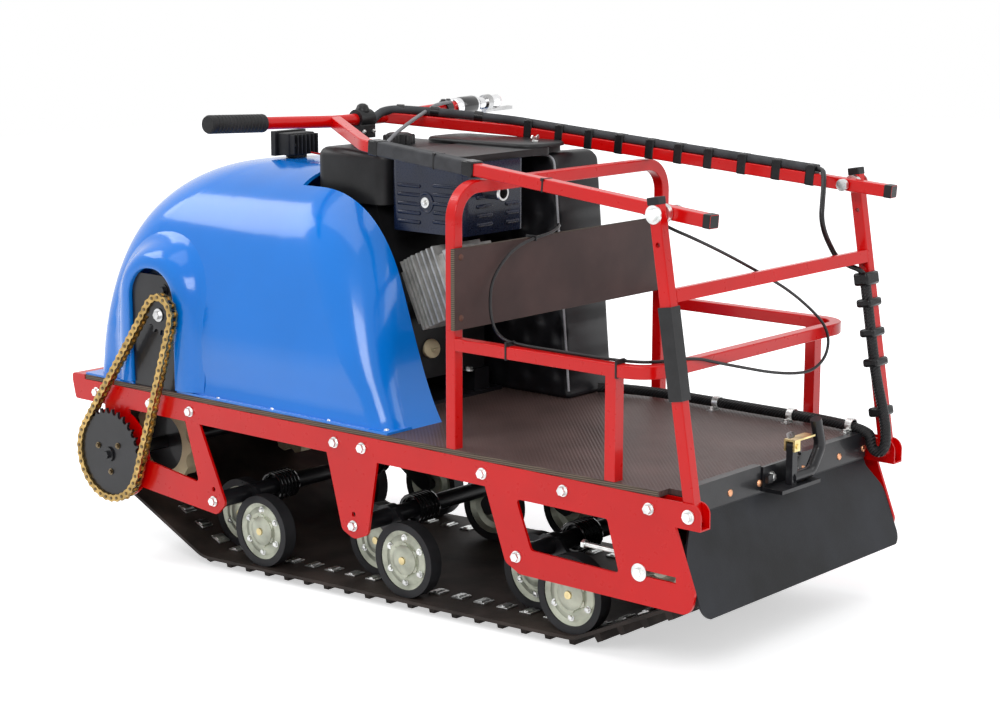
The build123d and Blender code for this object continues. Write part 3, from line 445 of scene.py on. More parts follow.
def finished(name, bm, finish_name, body="chassis", bevel=0.0, smooth=40.0, nodes=()):
    """Turn a bmesh drawn in deck millimetres into an object that rides on one body."""
    bmesh.ops.remove_doubles(bm, verts=bm.verts, dist=0.01)
    bmesh.ops.transform(bm, matrix=TO_ROW, verts=bm.verts)
    bmesh.ops.recalc_face_normals(bm, faces=bm.faces)
    mesh = bpy.data.meshes.new(name)
    bm.to_mesh(mesh)
    bm.free()
    mesh.materials.append(finishes[finish_name])
    mesh.polygons.foreach_set("use_smooth", [True] * len(mesh.polygons))
    mesh.set_sharp_from_angle(angle=radians(smooth))
    made = bpy.data.objects.new(name, mesh)
    bpy.context.collection.objects.link(made)
    if bevel:
        soft = made.modifiers.new("soft edges", "BEVEL")
        soft.width = bevel * MM
        soft.segments = 2
        soft.limit_method = "ANGLE"
    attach(made, body)
    if nodes:
        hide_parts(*nodes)
    print(name, len(mesh.polygons), "faces")


def block(bm, x, y, z):
    """A box between pairs of limits."""
    size = Matrix.Diagonal((x[1] - x[0], y[1] - y[0], z[1] - z[0], 1))
    middle = Matrix.Translation((sum(x) / 2, sum(y) / 2, sum(z) / 2))
    return bmesh.ops.create_cube(bm, size=1.0, matrix=middle @ size)["verts"]


def rod(bm, start, end, radius, sides=24, tip=None):
    """A round bar between two points, or a taper if the tip is given."""
    start, end = Vector(start), Vector(end)
    turn = (end - start).to_track_quat("Z", "Y").to_matrix().to_4x4()
    middle = Matrix.Translation((start + end) / 2)
    bmesh.ops.create_cone(
        bm, cap_ends=True, segments=sides, radius1=radius, radius2=radius if tip is None else tip,
        depth=(end - start).length, matrix=middle @ turn)


def turned(bm, profile, centre, way, sides=32):
    """A turned shape: an outline of radius and height, spun a full turn round a centre line."""
    way = Vector(way).normalized()
    across = way.orthogonal().normalized()
    edge = [bm.verts.new(Vector(centre) + across * radius + way * height) for radius, height in profile]
    joined = [bm.edges.new(pair) for pair in zip(edge, edge[1:])]
    bmesh.ops.spin(
        bm, geom=edge + joined, cent=Vector(centre), axis=way, angle=2 * pi, steps=sides,
        use_merge=True, use_duplicate=False)


print("block, rod and turned ready")

# %% [markdown]
# Fasteners come from the same tools: a bolt's hexagon is a rod with six sides on a washer, and a rivet
# is a low turned dome.

# %% Fastener helpers
WASHER_THICK = 1.6


def bolt(bm, place, way, head=7.0, washer=9.5, thick=5.5):
    """A hexagon head on its washer, standing on a face."""
    place, way = Vector(place), Vector(way).normalized()
    seat, top = place + way * WASHER_THICK, place + way * (WASHER_THICK + thick)
    rod(bm, place, seat, washer)
    rod(bm, seat, top, head, sides=6)
    rod(bm, top, top + way * 0.6, head * 0.8, tip=head * 0.55)


def rivet(bm, place, way, radius=5.0, rise=2.2):
    """A flat dome standing on a face."""
    dome = [(radius, 0), (radius * 0.9, rise * 0.6), (radius * 0.5, rise), (0.0, rise * 1.1)]
    turned(bm, dome, place, way, 16)


print("bolt and rivet ready")

# %% [markdown]
# Cables are curves. A smooth spline takes the route's few points as its control points, its bevel gives
# it thickness, and it is turned into a mesh. A cable that crosses a joint rides on no body.

# %% Cable helper


def cable(name, route, radius, finish_name, body=None, nodes=()):
    """A cable along a smooth spline, as a mesh that rides on one body or on none."""
    data = bpy.data.curves.new(name, "CURVE")
    data.dimensions = "3D"
    data.bevel_depth = radius * MM
    data.bevel_resolution = 3
    data.resolution_u = 10
    data.use_fill_caps = True
    line = data.splines.new("NURBS")
    line.points.add(len(route) - 1)
    for point, spot in zip(line.points, route):
        point.co = (*at(*spot), 1)
    line.order_u = 3
    line.use_endpoint_u = True
    draft = bpy.data.objects.new(name + "_line", data)
    mesh = bpy.data.meshes.new_from_object(draft)
    bpy.data.objects.remove(draft)
    mesh.name = name
    mesh.materials.clear()
    mesh.materials.append(finishes[finish_name])
    mesh.polygons.foreach_set("use_smooth", [True] * len(mesh.polygons))
    made = bpy.data.objects.new(name, mesh)
    bpy.context.collection.objects.link(made)
    if body:
        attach(made, body)
    if nodes:
        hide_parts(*nodes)
    print(name, len(mesh.polygons), "faces")
    return made


print("cable helper ready")

# %% [markdown]
# ## Hood
# The hood is one blow-moulded shell. Its main shape comes from the construction. What the eye misses
# there is the broad collar round the chain's opening, which rises from the side in a soft shoulder. A
# line of points round the opening is extruded outwards ring by ring, and each ring is laid between the
# collar's flat face and the shell's own surface, found by casting rays at the shell from the side.

# %% Hood's side
ARCH_X = 1205.0
ARCH_HALF = 61.0
ARCH_TOP = 252.0
ARCH_R = 58.0
ARCH_FOOT_ROWS = (34.0, 74.0, 114.0, 154.0)
QUARTER_STEPS = 12
COLLAR_Y = 292.5
RAY_Y = 330.0
RAY_REACH = 0.4
shell_tree = BVHTree.FromObject(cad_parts["hood"], bpy.context.evaluated_depsgraph_get())


def side_of_hood(x, z):
    """How far left the hood's own side stands at a deck x and z, in millimetres."""
    hit = shell_tree.ray_cast(at(x, RAY_Y, z), Vector((0, -1, 0)), RAY_REACH)[0]
    return (hit.y - deck_zero.y) / MM if hit else None


def arch_line(out):
    """Deck x and z round the chain's opening, out beyond its edge, from the rear foot to the front foot."""
    reach = ARCH_R + out
    middle = ARCH_HALF - ARCH_R
    turns = [k * pi / 2 / QUARTER_STEPS for k in range(QUARTER_STEPS + 1)]
    rear = [(-ARCH_HALF - out, z) for z in ARCH_FOOT_ROWS]
    rear += [(-middle - reach * cos(turn), ARCH_TOP - ARCH_R + reach * sin(turn)) for turn in turns]
    whole = rear + [(-x, z) for x, z in reversed(rear)]
    return [(ARCH_X + x, z) for x, z in whole]


print("opening's outline", len(arch_line(0.0)), "points")

# %% [markdown]
# The collar starts as a lip inside the opening. Each row of the table grows the sheet by one more ring.

# %% Hood collar
COLLAR_LIP = 9.0
COLLAR_WALL = 1.5
SHOULDER = [  # how far outside the opening, how far back from the face, share of the way to the shell
    (-0.3, 1.6, 0.0), (1.0, 0.3, 0.0), (4.0, 0.0, 0.0), (12.0, 0.0, 0.01), (20.0, 0.0, 0.06),
    (28.0, 0.0, 0.2), (36.0, 0.0, 0.45), (44.0, 0.0, 0.72), (52.0, 0.0, 0.9), (60.0, 0.0, 0.985),
    (66.0, 0.0, 1.03),
]

bm = bmesh.new()
line = arch_line(SHOULDER[0][0])
inside = [bm.verts.new((x, COLLAR_Y - COLLAR_LIP, z)) for x, z in line]
ring = [bm.edges.new(pair) for pair in zip(inside, inside[1:])]
for out, back, down in SHOULDER:
    grown = bmesh.ops.extrude_edge_only(bm, edges=ring)["geom"]
    ring = [g for g in grown if isinstance(g, bmesh.types.BMEdge)]
    for corner in [g for g in grown if isinstance(g, bmesh.types.BMVert)]:
        away = [hypot(x - corner.co.x, z - corner.co.z) for x, z in line]
        x, z = arch_line(out)[away.index(min(away))]
        shell = side_of_hood(x, z) if down else COLLAR_Y
        corner.co = (x, COLLAR_Y - back + ((shell or COLLAR_Y) - COLLAR_Y) * down, z)
    line = arch_line(out)
bmesh.ops.solidify(bm, geom=bm.faces[:], thickness=COLLAR_WALL)
finished("hood_collar", bm, "blue_plastic", smooth=60)

# %% [markdown]
# The hood stands on a base flange that is riveted to the deck at the rear and at the side, and one
# recessed screw holds its wall. The screw finds the wall with the same ray as the collar.

# %% Hood fasteners
DECK_TOP = 29.0
FLANGE_TOP = DECK_TOP + 4
FLANGE_RIVETS = [
    (636, 268), (652, 268), (672, 262), (690, 247), (760, 278), (900, 278), (1040, 278), (1330, 278)]
WALL_SCREW = (1093, 57)

bm = bmesh.new()
for x, y in FLANGE_RIVETS:
    rivet(bm, (x, y, FLANGE_TOP), (0, 0, 1))
screw_x, screw_z = WALL_SCREW
turned(bm, [(9.5, 0), (9.0, 1.6), (4.0, 1.8), (3.6, 0.9), (0, 0.9)],
       (screw_x, side_of_hood(screw_x, screw_z), screw_z), (0, 1, 0))
finished("hood_fasteners", bm, "zinc_plate")

# %% [markdown]
# ## Muffler guard
# The guard is a folded steel box. On its open sides it is pressed into short louvres with round ends,
# so the hot muffler can breathe. Each louvre is a round bar half sunk in the sheet, with a ball at each
# end, and a short table places the columns of louvres.

# %% Muffler louvres
GUARD_SIDE_Y = 122
GUARD_REAR_X = 593
LOUVRE_R = 3.5
LOUVRE_STEP = 15.5
LOUVRES = [  # wall, middle, length, lowest z, rows
    ("side", 717, 47, 363, 5), ("side", 632, 53, 367, 5), ("rear", 68, 34, 363, 5), ("rear", -5, 29, 362, 3)]

bm = bmesh.new()
for wall, middle, length, low_z, rows in LOUVRES:
    for k in range(rows):
        z = low_z + k * LOUVRE_STEP
        ends = (middle - length / 2, middle + length / 2)
        tips = [(end, GUARD_SIDE_Y, z) if wall == "side" else (GUARD_REAR_X, end, z) for end in ends]
        rod(bm, *tips, LOUVRE_R, 12)
        for tip in tips:
            bmesh.ops.create_uvsphere(
                bm, u_segments=12, v_segments=6, radius=LOUVRE_R, matrix=Matrix.Translation(tip))
finished("muffler_louvres", bm, "guard_paint")

# %% [markdown]
# A screw with a wide washer holds the guard near its rear corner, in a round pressed recess.

# %% Guard screw
SCREW_X, SCREW_Z = 679, 398

bm = bmesh.new()
turned(bm, [(9.5, 0), (9.0, 1.4), (5.2, 1.8), (0, 1.8)], (SCREW_X, GUARD_SIDE_Y + 0.4, SCREW_Z), (0, 1, 0))
bolt(bm, (SCREW_X, GUARD_SIDE_Y + 2, SCREW_Z), (0, 1, 0), 4.2, 5.5, 3.0)
finished("guard_screw", bm, "zinc_plate")
bm = bmesh.new()
turned(bm, [(19, 0), (18.5, 1.6), (16.5, 2.0), (14.5, 1.4), (13.5, 0.3), (0, 0.3)],
       (SCREW_X, GUARD_SIDE_Y, SCREW_Z), (0, 1, 0))
finished("guard_recess", bm, "guard_paint")

# %% [markdown]
# The exhaust leaves the guard's rear as a short bright pipe with a rolled lip. It is one turned outline,
# open through its middle, and a black disc inside stands for the soot and paints the shade deep in the bore.

# %% Exhaust
EXHAUST_Y, EXHAUST_Z = 62, 419

bm = bmesh.new()
turned(bm, [(10, -20), (10, 20), (13.4, 20), (14.4, 17), (12.6, 14), (12.6, -20)],
       (575, EXHAUST_Y, EXHAUST_Z), (-1, 0, 0))
finished("exhaust_pipe", bm, "bare_steel", nodes=("exhaust_stub",))
bm = bmesh.new()
# The black disc is soot, and painted shade for the dark depth of the pipe.
rod(bm, (592, EXHAUST_Y, EXHAUST_Z), (580, EXHAUST_Y, EXHAUST_Z), 9.9)
finished("exhaust_soot_and_shade", bm, "cast_black")

# %% [markdown]
# ## Air cleaner and tank
# A flat black cover with rounded corners holds the air filter, under a wing nut. The fuel tank is
# blow-moulded with generous corners and a cap that has six grip lobes. Both are boxes whose corners
# are bevelled in two steps: first the upright edges, then the rim of the top.

# %% Air cleaner


def soft_box(bm, x, y, z, corner, rim, segments=6):
    """A box with rounded upright edges and a softened top rim."""
    corners = block(bm, x, y, z)
    edges = {edge for vert in corners for edge in vert.link_edges}
    upright = [edge for edge in edges if abs(edge.verts[0].co.z - edge.verts[1].co.z) > 1]
    bmesh.ops.bevel(
        bm, geom=upright, offset=corner, offset_type="OFFSET", affect="EDGES", segments=segments,
        profile=0.5, material=-1, clamp_overlap=True)
    top = [edge for edge in bm.edges if all(
        abs(v.co.z - z[1]) < 0.01 and x[0] - 1 < v.co.x < x[1] + 1 and y[0] - 1 < v.co.y < y[1] + 1
        for v in edge.verts)]
    bmesh.ops.bevel(
        bm, geom=top, offset=rim, offset_type="OFFSET", affect="EDGES", segments=4, profile=0.5,
        material=-1, clamp_overlap=True)


NUT_X, NUT_Y = 645, -129
bm = bmesh.new()
soft_box(bm, (606, 868), (-186, -70), (480.3, 487.0), 36, 5)
soft_box(bm, (618, 856), (-180, -128.3), (468.5, 480.3), 20, 0.5)
finished("air_cleaner", bm, "black_plastic", smooth=50)
bm = bmesh.new()
turned(bm, [(6, 0), (6, 2), (4, 2.4), (0, 2.4)], (NUT_X, NUT_Y, 487.0), (0, 0, 1))
for side in (-1, 1):
    wing = block(bm, (NUT_X - 1.2, NUT_X + 1.2), sorted((NUT_Y, NUT_Y + side * 12)), (488, 494))
    bmesh.ops.rotate(
        bm, verts=wing, cent=(NUT_X, NUT_Y, 489), matrix=Matrix.Rotation(radians(side * 28), 3, "X"))
finished("wing_nut", bm, "zinc_plate", bevel=0.4)

# %% [markdown]
# The tank is one soft box, and its cap a turned disc with smaller turned lobes set round its rim.

# %% Fuel tank
TANK_TOP = 478.0
CAP_X, CAP_Y = 868, -14
CAP_LOBES = 6

bm = bmesh.new()
soft_box(bm, (775, 944), (-128, 125), (385.2, TANK_TOP), 24, 16)
finished("tank_shell", bm, "black_plastic", smooth=50, nodes=("fuel_tank",))
bm = bmesh.new()
turned(bm, [(24, -2), (24, 14), (22.5, 17.5), (18, 19.5), (0, 19.8)], (CAP_X, CAP_Y, TANK_TOP), (0, 0, 1), 48)
for k in range(CAP_LOBES):
    turn = k * 2 * pi / CAP_LOBES
    turned(bm, [(8, 0), (8, 15), (6.5, 17.5), (0, 18)],
           (CAP_X + 22 * cos(turn), CAP_Y + 22 * sin(turn), TANK_TOP - 1), (0, 0, 1), 20)
finished("tank_cap", bm, "black_plastic")

# %% [markdown]
# ## Small engine fittings
# The spark plug wears a brown-grey rubber boot over a plated ring, the oil filler has a cream cap, and
# four bolts hold the engine's feet. All are turned shapes.

# %% Engine fittings
PLUG_X, PLUG_Y = 702, 50

bm = bmesh.new()
turned(bm, [(0, 66), (8, 66), (13, 61), (14.5, 52), (14.5, 20), (12.5, 6), (10.5, 0), (0, 0)],
       (PLUG_X, PLUG_Y, 250), (0, 0, 1), 24)
finished("plug_boot", bm, "boot_rubber")
bm = bmesh.new()
turned(bm, [(11, 0), (16.5, 1.5), (17, 5), (15, 8), (11, 9), (11, 0)], (PLUG_X, PLUG_Y, 241), (0, 0, 1), 24)
for x, y in ((787, -21), (759, -83), (728, -44), (778, -104)):
    bolt(bm, (x, y, 75), (0, 0, 1))
finished("engine_bolts", bm, "zinc_plate")
bm = bmesh.new()
turned(bm, [(0, 0), (15, 0), (17, 5), (17, 12), (14, 15), (6, 16), (0, 16)],
       (738, 52, 127), (-1, 0.25, 0.25), 28)
block(bm, (716, 724), (47, 61), (126, 131))
finished("oil_cap", bm, "cream_plastic")

# %% [markdown]
# ## Work lamp
# A square cast lamp stands on the hood. Upright fins cool its back, a flange frames its clear front,
# and a two-wire lead leaves it. The fins are a row of thin boxes, made by a loop.

# %% Work lamp
LAMP_FOOT = 438.3
FIN_COUNT, FIN_STEP, FIN_HALF = 7, 10, 1.5

bm = bmesh.new()
soft_box(bm, (1104, 1134), (-34, 34), (444, 485), 3, 2, 3)
block(bm, (1134, 1146), (-40, 40), (442, 488))
block(bm, (1105, 1133), (-14, 14), (LAMP_FOOT, 446))
for k in range(FIN_COUNT):
    y = (k - FIN_COUNT // 2) * FIN_STEP
    block(bm, (1092, 1106), (y - FIN_HALF, y + FIN_HALF), (446, 483))
finished("lamp_body", bm, "cast_black", bevel=0.8, nodes=("headlamp",))
bm = bmesh.new()
block(bm, (1146, 1147), (-33, 33), (448, 482))
finished("lamp_glass", bm, "clear_glass", bevel=0.4)
bm = bmesh.new()
for y in (-22, 22):
    rivet(bm, (1112, y * 0.4, 447), (0, 0, 1), 4, 2)
    bolt(bm, (1104, y, 463), (-1, 0, 0), 3.5, 5, 3)
finished("lamp_screws", bm, "zinc_plate")

# %% [markdown]
# The lead's two wires run side by side from the lamp back to the tank.

# %% Lamp wires
WIRE_R = 1.6
RED_PATH = [(1096, -12, 448), (1070, -16, 445), (1040, -22, 443), (1000, -30, 444), (955, -38, 436)]
BLACK_PATH = [(1096, -16, 448), (1068, -21, 445), (1038, -27, 443), (1000, -35, 444), (955, -44, 436)]
cable("lamp_wire_red", RED_PATH, WIRE_R, "wire_red", "chassis")
cable("lamp_wire_black", BLACK_PATH, WIRE_R, "cable_black", "chassis")

# %% [markdown]
# ## Belt drive cover
# The cover on the right is a soft black shell, quilted in diamonds, with a pale piping sewn round its
# edge. Its side outline is one face, extruded across and bevelled all round so that light rolls over
# the edge. The quilting is left to the finish.

# %% Side cover
COVER_FAR_Y, COVER_WIDE = -262.0, 130
COVER_EDGE = [(566, 29), (970, 29), (1010, 380), (962, 428), (622, 468), (603, 456)]
PIPING_PATH = [
    (568.5, -134, 44), (585, -134, 230), (603, -134, 440), (608, -136, 459), (628, -136, 465),
    (790, -136, 446), (950, -136, 428),
]

bm = bmesh.new()
outline = bm.faces.new([bm.verts.new((x, COVER_FAR_Y, z)) for x, z in COVER_EDGE])
grown = bmesh.ops.extrude_face_region(bm, geom=[outline])["geom"]
bmesh.ops.translate(bm, vec=(0, COVER_WIDE, 0), verts=[g for g in grown if isinstance(g, bmesh.types.BMVert)])
bmesh.ops.recalc_face_normals(bm, faces=bm.faces)
bmesh.ops.bevel(
    bm, geom=bm.edges[:], offset=11, offset_type="OFFSET", affect="EDGES", segments=5, profile=0.5,
    material=-1, clamp_overlap=True)
finished("cover_shell", bm, "quilted_vinyl", smooth=70, nodes=("side_cover",))
cable("cover_piping", PIPING_PATH, 2.2, "piping_grey", "chassis")

# %% [markdown]
# ## Looms
# A split corrugated tube carries the wires along the deck's right edge. It dips in a loop below the
# column's pivot, so that the column can lean, and climbs the right upright. One mesh covers both runs.

# %% Deck and column loom
LOOM_PATH = [
    (557, -204, 41.5), (505, -242, 41.5), (250, -242, 41.5), (12, -242, 41.5), (11, -243, 9),
    (-2, -245, 0), (-15, -247, 10), (-12, -252, 40), (-1, -257, 77), (15.2, -258.7, 128),
    (29, -258.7, 211), (43.2, -258.7, 296.9),
]
deck_loom = cable("deck_loom_tube", LOOM_PATH, 9.0, "loom_ribbed", nodes=("deck_loom", "column_loom"))
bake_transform(deck_loom)

# %% [markdown]
# From the loom's top a thin strand crosses the handle's pin in an open bow, and lies down along the
# right tube. It runs from the column onto the handle.

# %% Strand over the pin
STRAND_PATH = [
    (43.2, -258, 294), (47, -254, 302), (66, -246, 308), (81, -231, 322), (82, -211, 345),
    (80, -190, 368), (79, -178, 393), (84, -188, 418), (92, -203, 440), (103, -220, 458),
    (117, -238, 465.5), (134, -242, 465.2),
]
strand = cable("loom_strand", STRAND_PATH, 4.5, "cable_black")
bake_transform(strand)

# %% [markdown]
# ## Control cables
# A thin stop cable comes from the engine, hooks over the back board and runs along the guard rail. It
# then swings in a wide loop across the column and joins the left tube of the handle. The loop is made
# in two pieces that meet on the column. The throttle's grey cable crosses the handle between its two
# tubes.

# %% Stop cable and its loop
CABLE_R = 2.5
STOP_PATH = [
    (500, -20, 360), (482, 6, 368), (461, 28, 367), (449, 62, 361), (448, 108, 357), (448, 152, 348),
    (447, 190, 328), (445, 219, 300), (438, 233, 270), (420, 250, 242), (395, 263, 222), (360, 271, 214),
    (262, 272, 214), (165, 272, 214), (118, 263, 214), (94, 240, 214), (86, 212, 214),
]
LOW_LOOP = [
    (86, 212, 214), (75.7, 176, 214), (71, 120, 198), (71, 50, 180), (71, -25, 161), (71, -95, 148),
    (71, -150, 144), (72, -190, 158), (72, -203, 186), (72, -187, 217), (72, -140, 250), (72, -111, 267),
]
HIGH_LOOP = [
    (72, -111, 267), (72, -82, 284), (72, -18, 314), (72, 45, 341), (72, 105, 366), (71, 165, 389),
    (73, 204, 404), (84, 222, 413), (104, 225, 421), (124, 228, 429), (150, 227.5, 441),
    (183.6, 225.7, 451.8), (330, 214.5, 463.5), (480.6, 202.9, 475.7),
]
THROTTLE_PATH = [
    (936, -228.5, 537), (921, -178, 538), (893, -122, 532), (872, -72, 524), (853, -22, 514),
    (832, 30, 503), (812, 74, 490), (806, 92, 484),
]

cable("stop_cable", STOP_PATH, CABLE_R, "cable_black", "chassis")
low_loop = cable("cable_loop_low", LOW_LOOP, CABLE_R, "cable_black")
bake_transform(low_loop)
high_loop = cable("cable_loop_high", HIGH_LOOP, CABLE_R, "cable_black")
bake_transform(high_loop)
cable("throttle_cable", THROTTLE_PATH, 3.5, "sheath_grey", "handle")

# %% [markdown]
# Zinc clips hold the loom to the deck. Each is a turned band round the tube with a foot screwed down.

# %% Deck clips
LOOM_Y, LOOM_Z = -242, 41.5

bm = bmesh.new()
for x in (320, 166, 49):
    turned(bm, [(9.4, -6), (11.4, -6), (11.4, 6), (9.4, 6), (9.4, -6)], (x, LOOM_Y, LOOM_Z), (1, 0, 0), 28)
    block(bm, (x - 6, x + 6), (-238, -217), (DECK_TOP + 0.2, DECK_TOP + 2.2))
    bolt(bm, (x, -223, DECK_TOP + 2.2), (0, 0, 1), 4.5, 6.5, 3.5)
finished("deck_clips", bm, "zinc_plate", nodes=("loom_clips",))

# %% [markdown]
# ## Ties, tape and plugs
# Along the handle and the column everything is set by two slanted frames: one runs along a handle tube
# from its pin, the other up an upright. A wrap or a plug is then a plain block in that frame, a little
# wider than the tube, and a bevel modifier softens its corners.

# %% Frames of the tubes
LEAN = radians(9.43)
UPRIGHT_Y = 277.5
PIN_X, PIN_Z = 73.57, 442.92
HANDLE_Y = 247
HANDLE_SLANT = 0.0769
HANDLE_RISE = radians(4.6)


def on_handle(along, side=1):
    """The frame of a handle tube, along from its pin: x on along the tube, y across to the left, z up."""
    place = Matrix.Translation((
        PIN_X + along, side * (HANDLE_Y - HANDLE_SLANT * along), PIN_Z + along * tan(HANDLE_RISE)))
    turn = Matrix.Rotation(-side * atan(HANDLE_SLANT), 4, "Z")
    return place @ turn @ Matrix.Rotation(-HANDLE_RISE, 4, "Y")


def on_column(up, side=1):
    """The frame of an upright at a height: z up along it, y to the left."""
    return Matrix.Rotation(LEAN, 4, "Y") @ Matrix.Translation((0, side * UPRIGHT_Y, up))


def band(bm, frame_at, half_y, half_z, length, along="X"):
    """A wrap round a square tube, which runs along the frame's x or z."""
    size = {"X": (length, half_y * 2, half_z * 2, 1), "Z": (half_z * 2, half_y * 2, length, 1)}[along]
    bmesh.ops.create_cube(bm, size=1.0, matrix=frame_at @ Matrix.Diagonal(size))


print("handle frame at its pin", [round(v, 4) for v in on_handle(0).translation])

# %% [markdown]
# Black tape holds the handle's loom to the right tube and wraps the left tube twice. Round the bend of
# the handle the wraps are short round sleeves.

# %% Handle tape
bm = bmesh.new()
for along, length in ((418, 26), (644, 24)):
    band(bm, on_handle(along), 13.0, 13.0, length)
for along in (66, 130, 196, 262, 322, 380, 444, 508, 572, 640):
    band(bm, on_handle(along, -1) @ Matrix.Translation((0, 0, 6.5)), 11.0, 17.6, 18)
finished("handle_tape", bm, "black_tape", "handle", bevel=2.5)
bm = bmesh.new()
for root, tip in (((800, -166, 520.5), (813, -157.5, 522.2)), ((868, -122, 528), (881, -113.5, 529.6)),
                  ((923, -87, 532), (934, -79, 532.4))):
    rod(bm, root, tip, 9.4, 24)
finished("bend_tape", bm, "black_tape", "handle")

# %% [markdown]
# The loom on the handle is a smooth sleeve along the right tube, up to the switch at the middle.

# %% Handle loom
HANDLE_LOOM_PATH = [
    (133.4, -242.4, 464.8), (400, -222, 486), (700, -199, 510.5), (752, -195, 515.5), (850, -133, 526),
    (922, -88, 532), (940, -66, 532), (944, -40, 527), (940, -22, 516),
]
cable("handle_loom_tube", HANDLE_LOOM_PATH, 8.0, "sleeve_grey", "handle", nodes=("handle_loom",))

# %% [markdown]
# A cable tie is a thin band with a square lock. The second tie on the left tube goes over its sleeve,
# so it is wider.

# %% Handle ties
bm = bmesh.new()
for along, half, lock_up in ((252, 10.8, 9), (496, 12.6, 11.5)):
    band(bm, on_handle(along), half, half, 3.6)
    lock_at = on_handle(along) @ Matrix.Translation((0, 10.5, lock_up))
    bmesh.ops.create_cube(bm, size=1.0, matrix=lock_at @ Matrix.Diagonal((5.5, 4.5, 5.0, 1)))
finished("handle_ties", bm, "black_plastic", "handle", bevel=0.5)

# %% [markdown]
# Wider wraps of tape hold the loom to the right upright, and thin ties hold the stop cable to the guard
# rail and to the back board.

# %% Column tape and rail ties
bm = bmesh.new()
for up, length in ((67, 16), (150, 14), (200, 14), (250, 14), (290, 22)):
    middle = on_column(up, -1) @ Matrix.Translation((-3.0, 9.5, 0))
    band(bm, middle, 20.0, 13.8, length, "Z")
finished("column_tape", bm, "black_tape", "column", bevel=4.0)
bm = bmesh.new()
for x in (358, 140):
    block(bm, (x - 1.8, x + 1.8), (UPRIGHT_Y - 11, UPRIGHT_Y + 11), (189.5, 218.5))
    block(bm, (x - 2.8, x + 2.8), (UPRIGHT_Y - 12.5, UPRIGHT_Y - 8), (212, 217))
block(bm, (444.5, 466.5), (106.4, 109.6), (352, 361))
finished("rail_ties", bm, "black_plastic", bevel=0.5)

# %% [markdown]
# Each open tube end is shut by a black plastic plug.

# %% Tube plugs
bm = bmesh.new()
for side in (1, -1):
    band(bm, on_handle(-77.0, side), 10.5, 10.5, 14.1)
finished("handle_plugs", bm, "black_plastic", "handle", bevel=1.2)
bm = bmesh.new()
for side in (1, -1):
    band(bm, on_column(468.5, side), 9.9, 10.4, 12.0, "Z")
finished("upright_plugs", bm, "black_plastic", "column", bevel=1.2)

# %% [markdown]
# ## Handle controls
# The left grip is moulded rubber with ribs, so its outline is a comb of small steps that is spun round
# the bar. The switch in the middle has a rubber dome on a clamped box.

# %% Grip and switch
BAR_ROOT, BAR_END = Vector((950, 66, 518)), Vector((942, 372, 532))
GRIP_RIBS, RIB_STEP = 13, 8.2
bar_way = (BAR_END - BAR_ROOT).normalized()
comb = [(11.3, 0), (15.6, 0), (16, 2), (16, 5), (15.2, 7)]
for k in range(GRIP_RIBS):
    start = 9 + k * RIB_STEP
    comb += [(15.9, start), (15.9, start + 5.2), (14.8, start + 6.2), (14.8, start + 7.2)]
comb += [(15.9, 117), (15.9, 126), (14.0, 129.6), (0, 130)]

bm = bmesh.new()
turned(bm, comb, BAR_END - bar_way * 125, bar_way, 36)
finished("ribbed_grip", bm, "grip_rubber", "handle", smooth=35, nodes=("left_grip",))
bm = bmesh.new()
soft_box(bm, (933, 967), (-24, 16), (485, 510), 5, 3, 3)
turned(bm, [(11.1, -22), (18, -22), (18.5, -20), (18.5, 12), (18, 14), (11.1, 14)],
       (950, 0, 518), (0, 1, 0), 36)
turned(bm, [(13, 14), (13, 18), (11, 21), (9.5, 25), (5, 28), (0, 28.8)], (949, -4, 518), (0, 0, 1), 32)
finished("switch_body", bm, "black_plastic", "handle")
bm = bmesh.new()
bolt(bm, (950, -4, 485), (0, 0, -1), 4.5, 6.5, 4.0)
bolt(bm, (933, -16, 497), (-1, 0, 0), 3.0, 4.0, 2.0)
bolt(bm, (933, 9, 497), (-1, 0, 0), 3.0, 4.0, 2.0)
finished("switch_screws", bm, "zinc_plate", "handle")

# %% [markdown]
# On the right a clamp, a short cylinder with polished caps and a thumb lever sit round the bar. They
# are turned round the bar's own line, and the lever ends in a ball.

# %% Right control
RIGHT_ROOT, RIGHT_END = Vector((950, -66, 518)), Vector((942, -372, 532))
out_way = (RIGHT_END - RIGHT_ROOT).normalized()
bm = bmesh.new()
turned(bm, [(11.2, 196), (16.8, 196), (17.4, 199), (17.4, 232), (16.4, 236), (11.2, 236)],
       RIGHT_ROOT, out_way, 36)
clamp = RIGHT_ROOT + out_way * 160
turned(bm, [(11.2, 152), (15.5, 152), (15.5, 168), (11.2, 168)], RIGHT_ROOT, out_way, 32)
block(bm, (clamp.x - 9, clamp.x + 9), (clamp.y - 8, clamp.y + 8), (clamp.z + 8, clamp.z + 14))
for y in (-7, 7):
    turned(bm, [(5, 0), (5, 3.5), (3.5, 5), (0, 5.2)], (clamp.x, clamp.y + y, clamp.z + 13), (0, 0, 1), 20)
finished("control_body", bm, "gloss_black", "handle", bevel=0.8)
bm = bmesh.new()
turned(bm, [(11.2, 180), (14.5, 180), (16.5, 184), (16.5, 196), (11.2, 196)], RIGHT_ROOT, out_way, 36)
turned(bm, [(11.2, 236), (15.8, 236), (15.8, 240), (12.2, 245), (11.4, 252), (11.3, 292), (12.4, 298),
            (12.6, 303), (11.0, 306.2), (0, 306.5)], RIGHT_ROOT, out_way, 36)
finished("control_chrome", bm, "chrome", "handle", nodes=("right_control",))

# %% [markdown]
# ## Wheels and springs
# The pressed discs carry a greased hub cap, a ring of bosses and six bolts. Each bogie has one pair of
# wheels behind its pivot and one pair ahead, nearer the middle, so two loops place them all. Three
# meshes grow side by side, one for each finish.

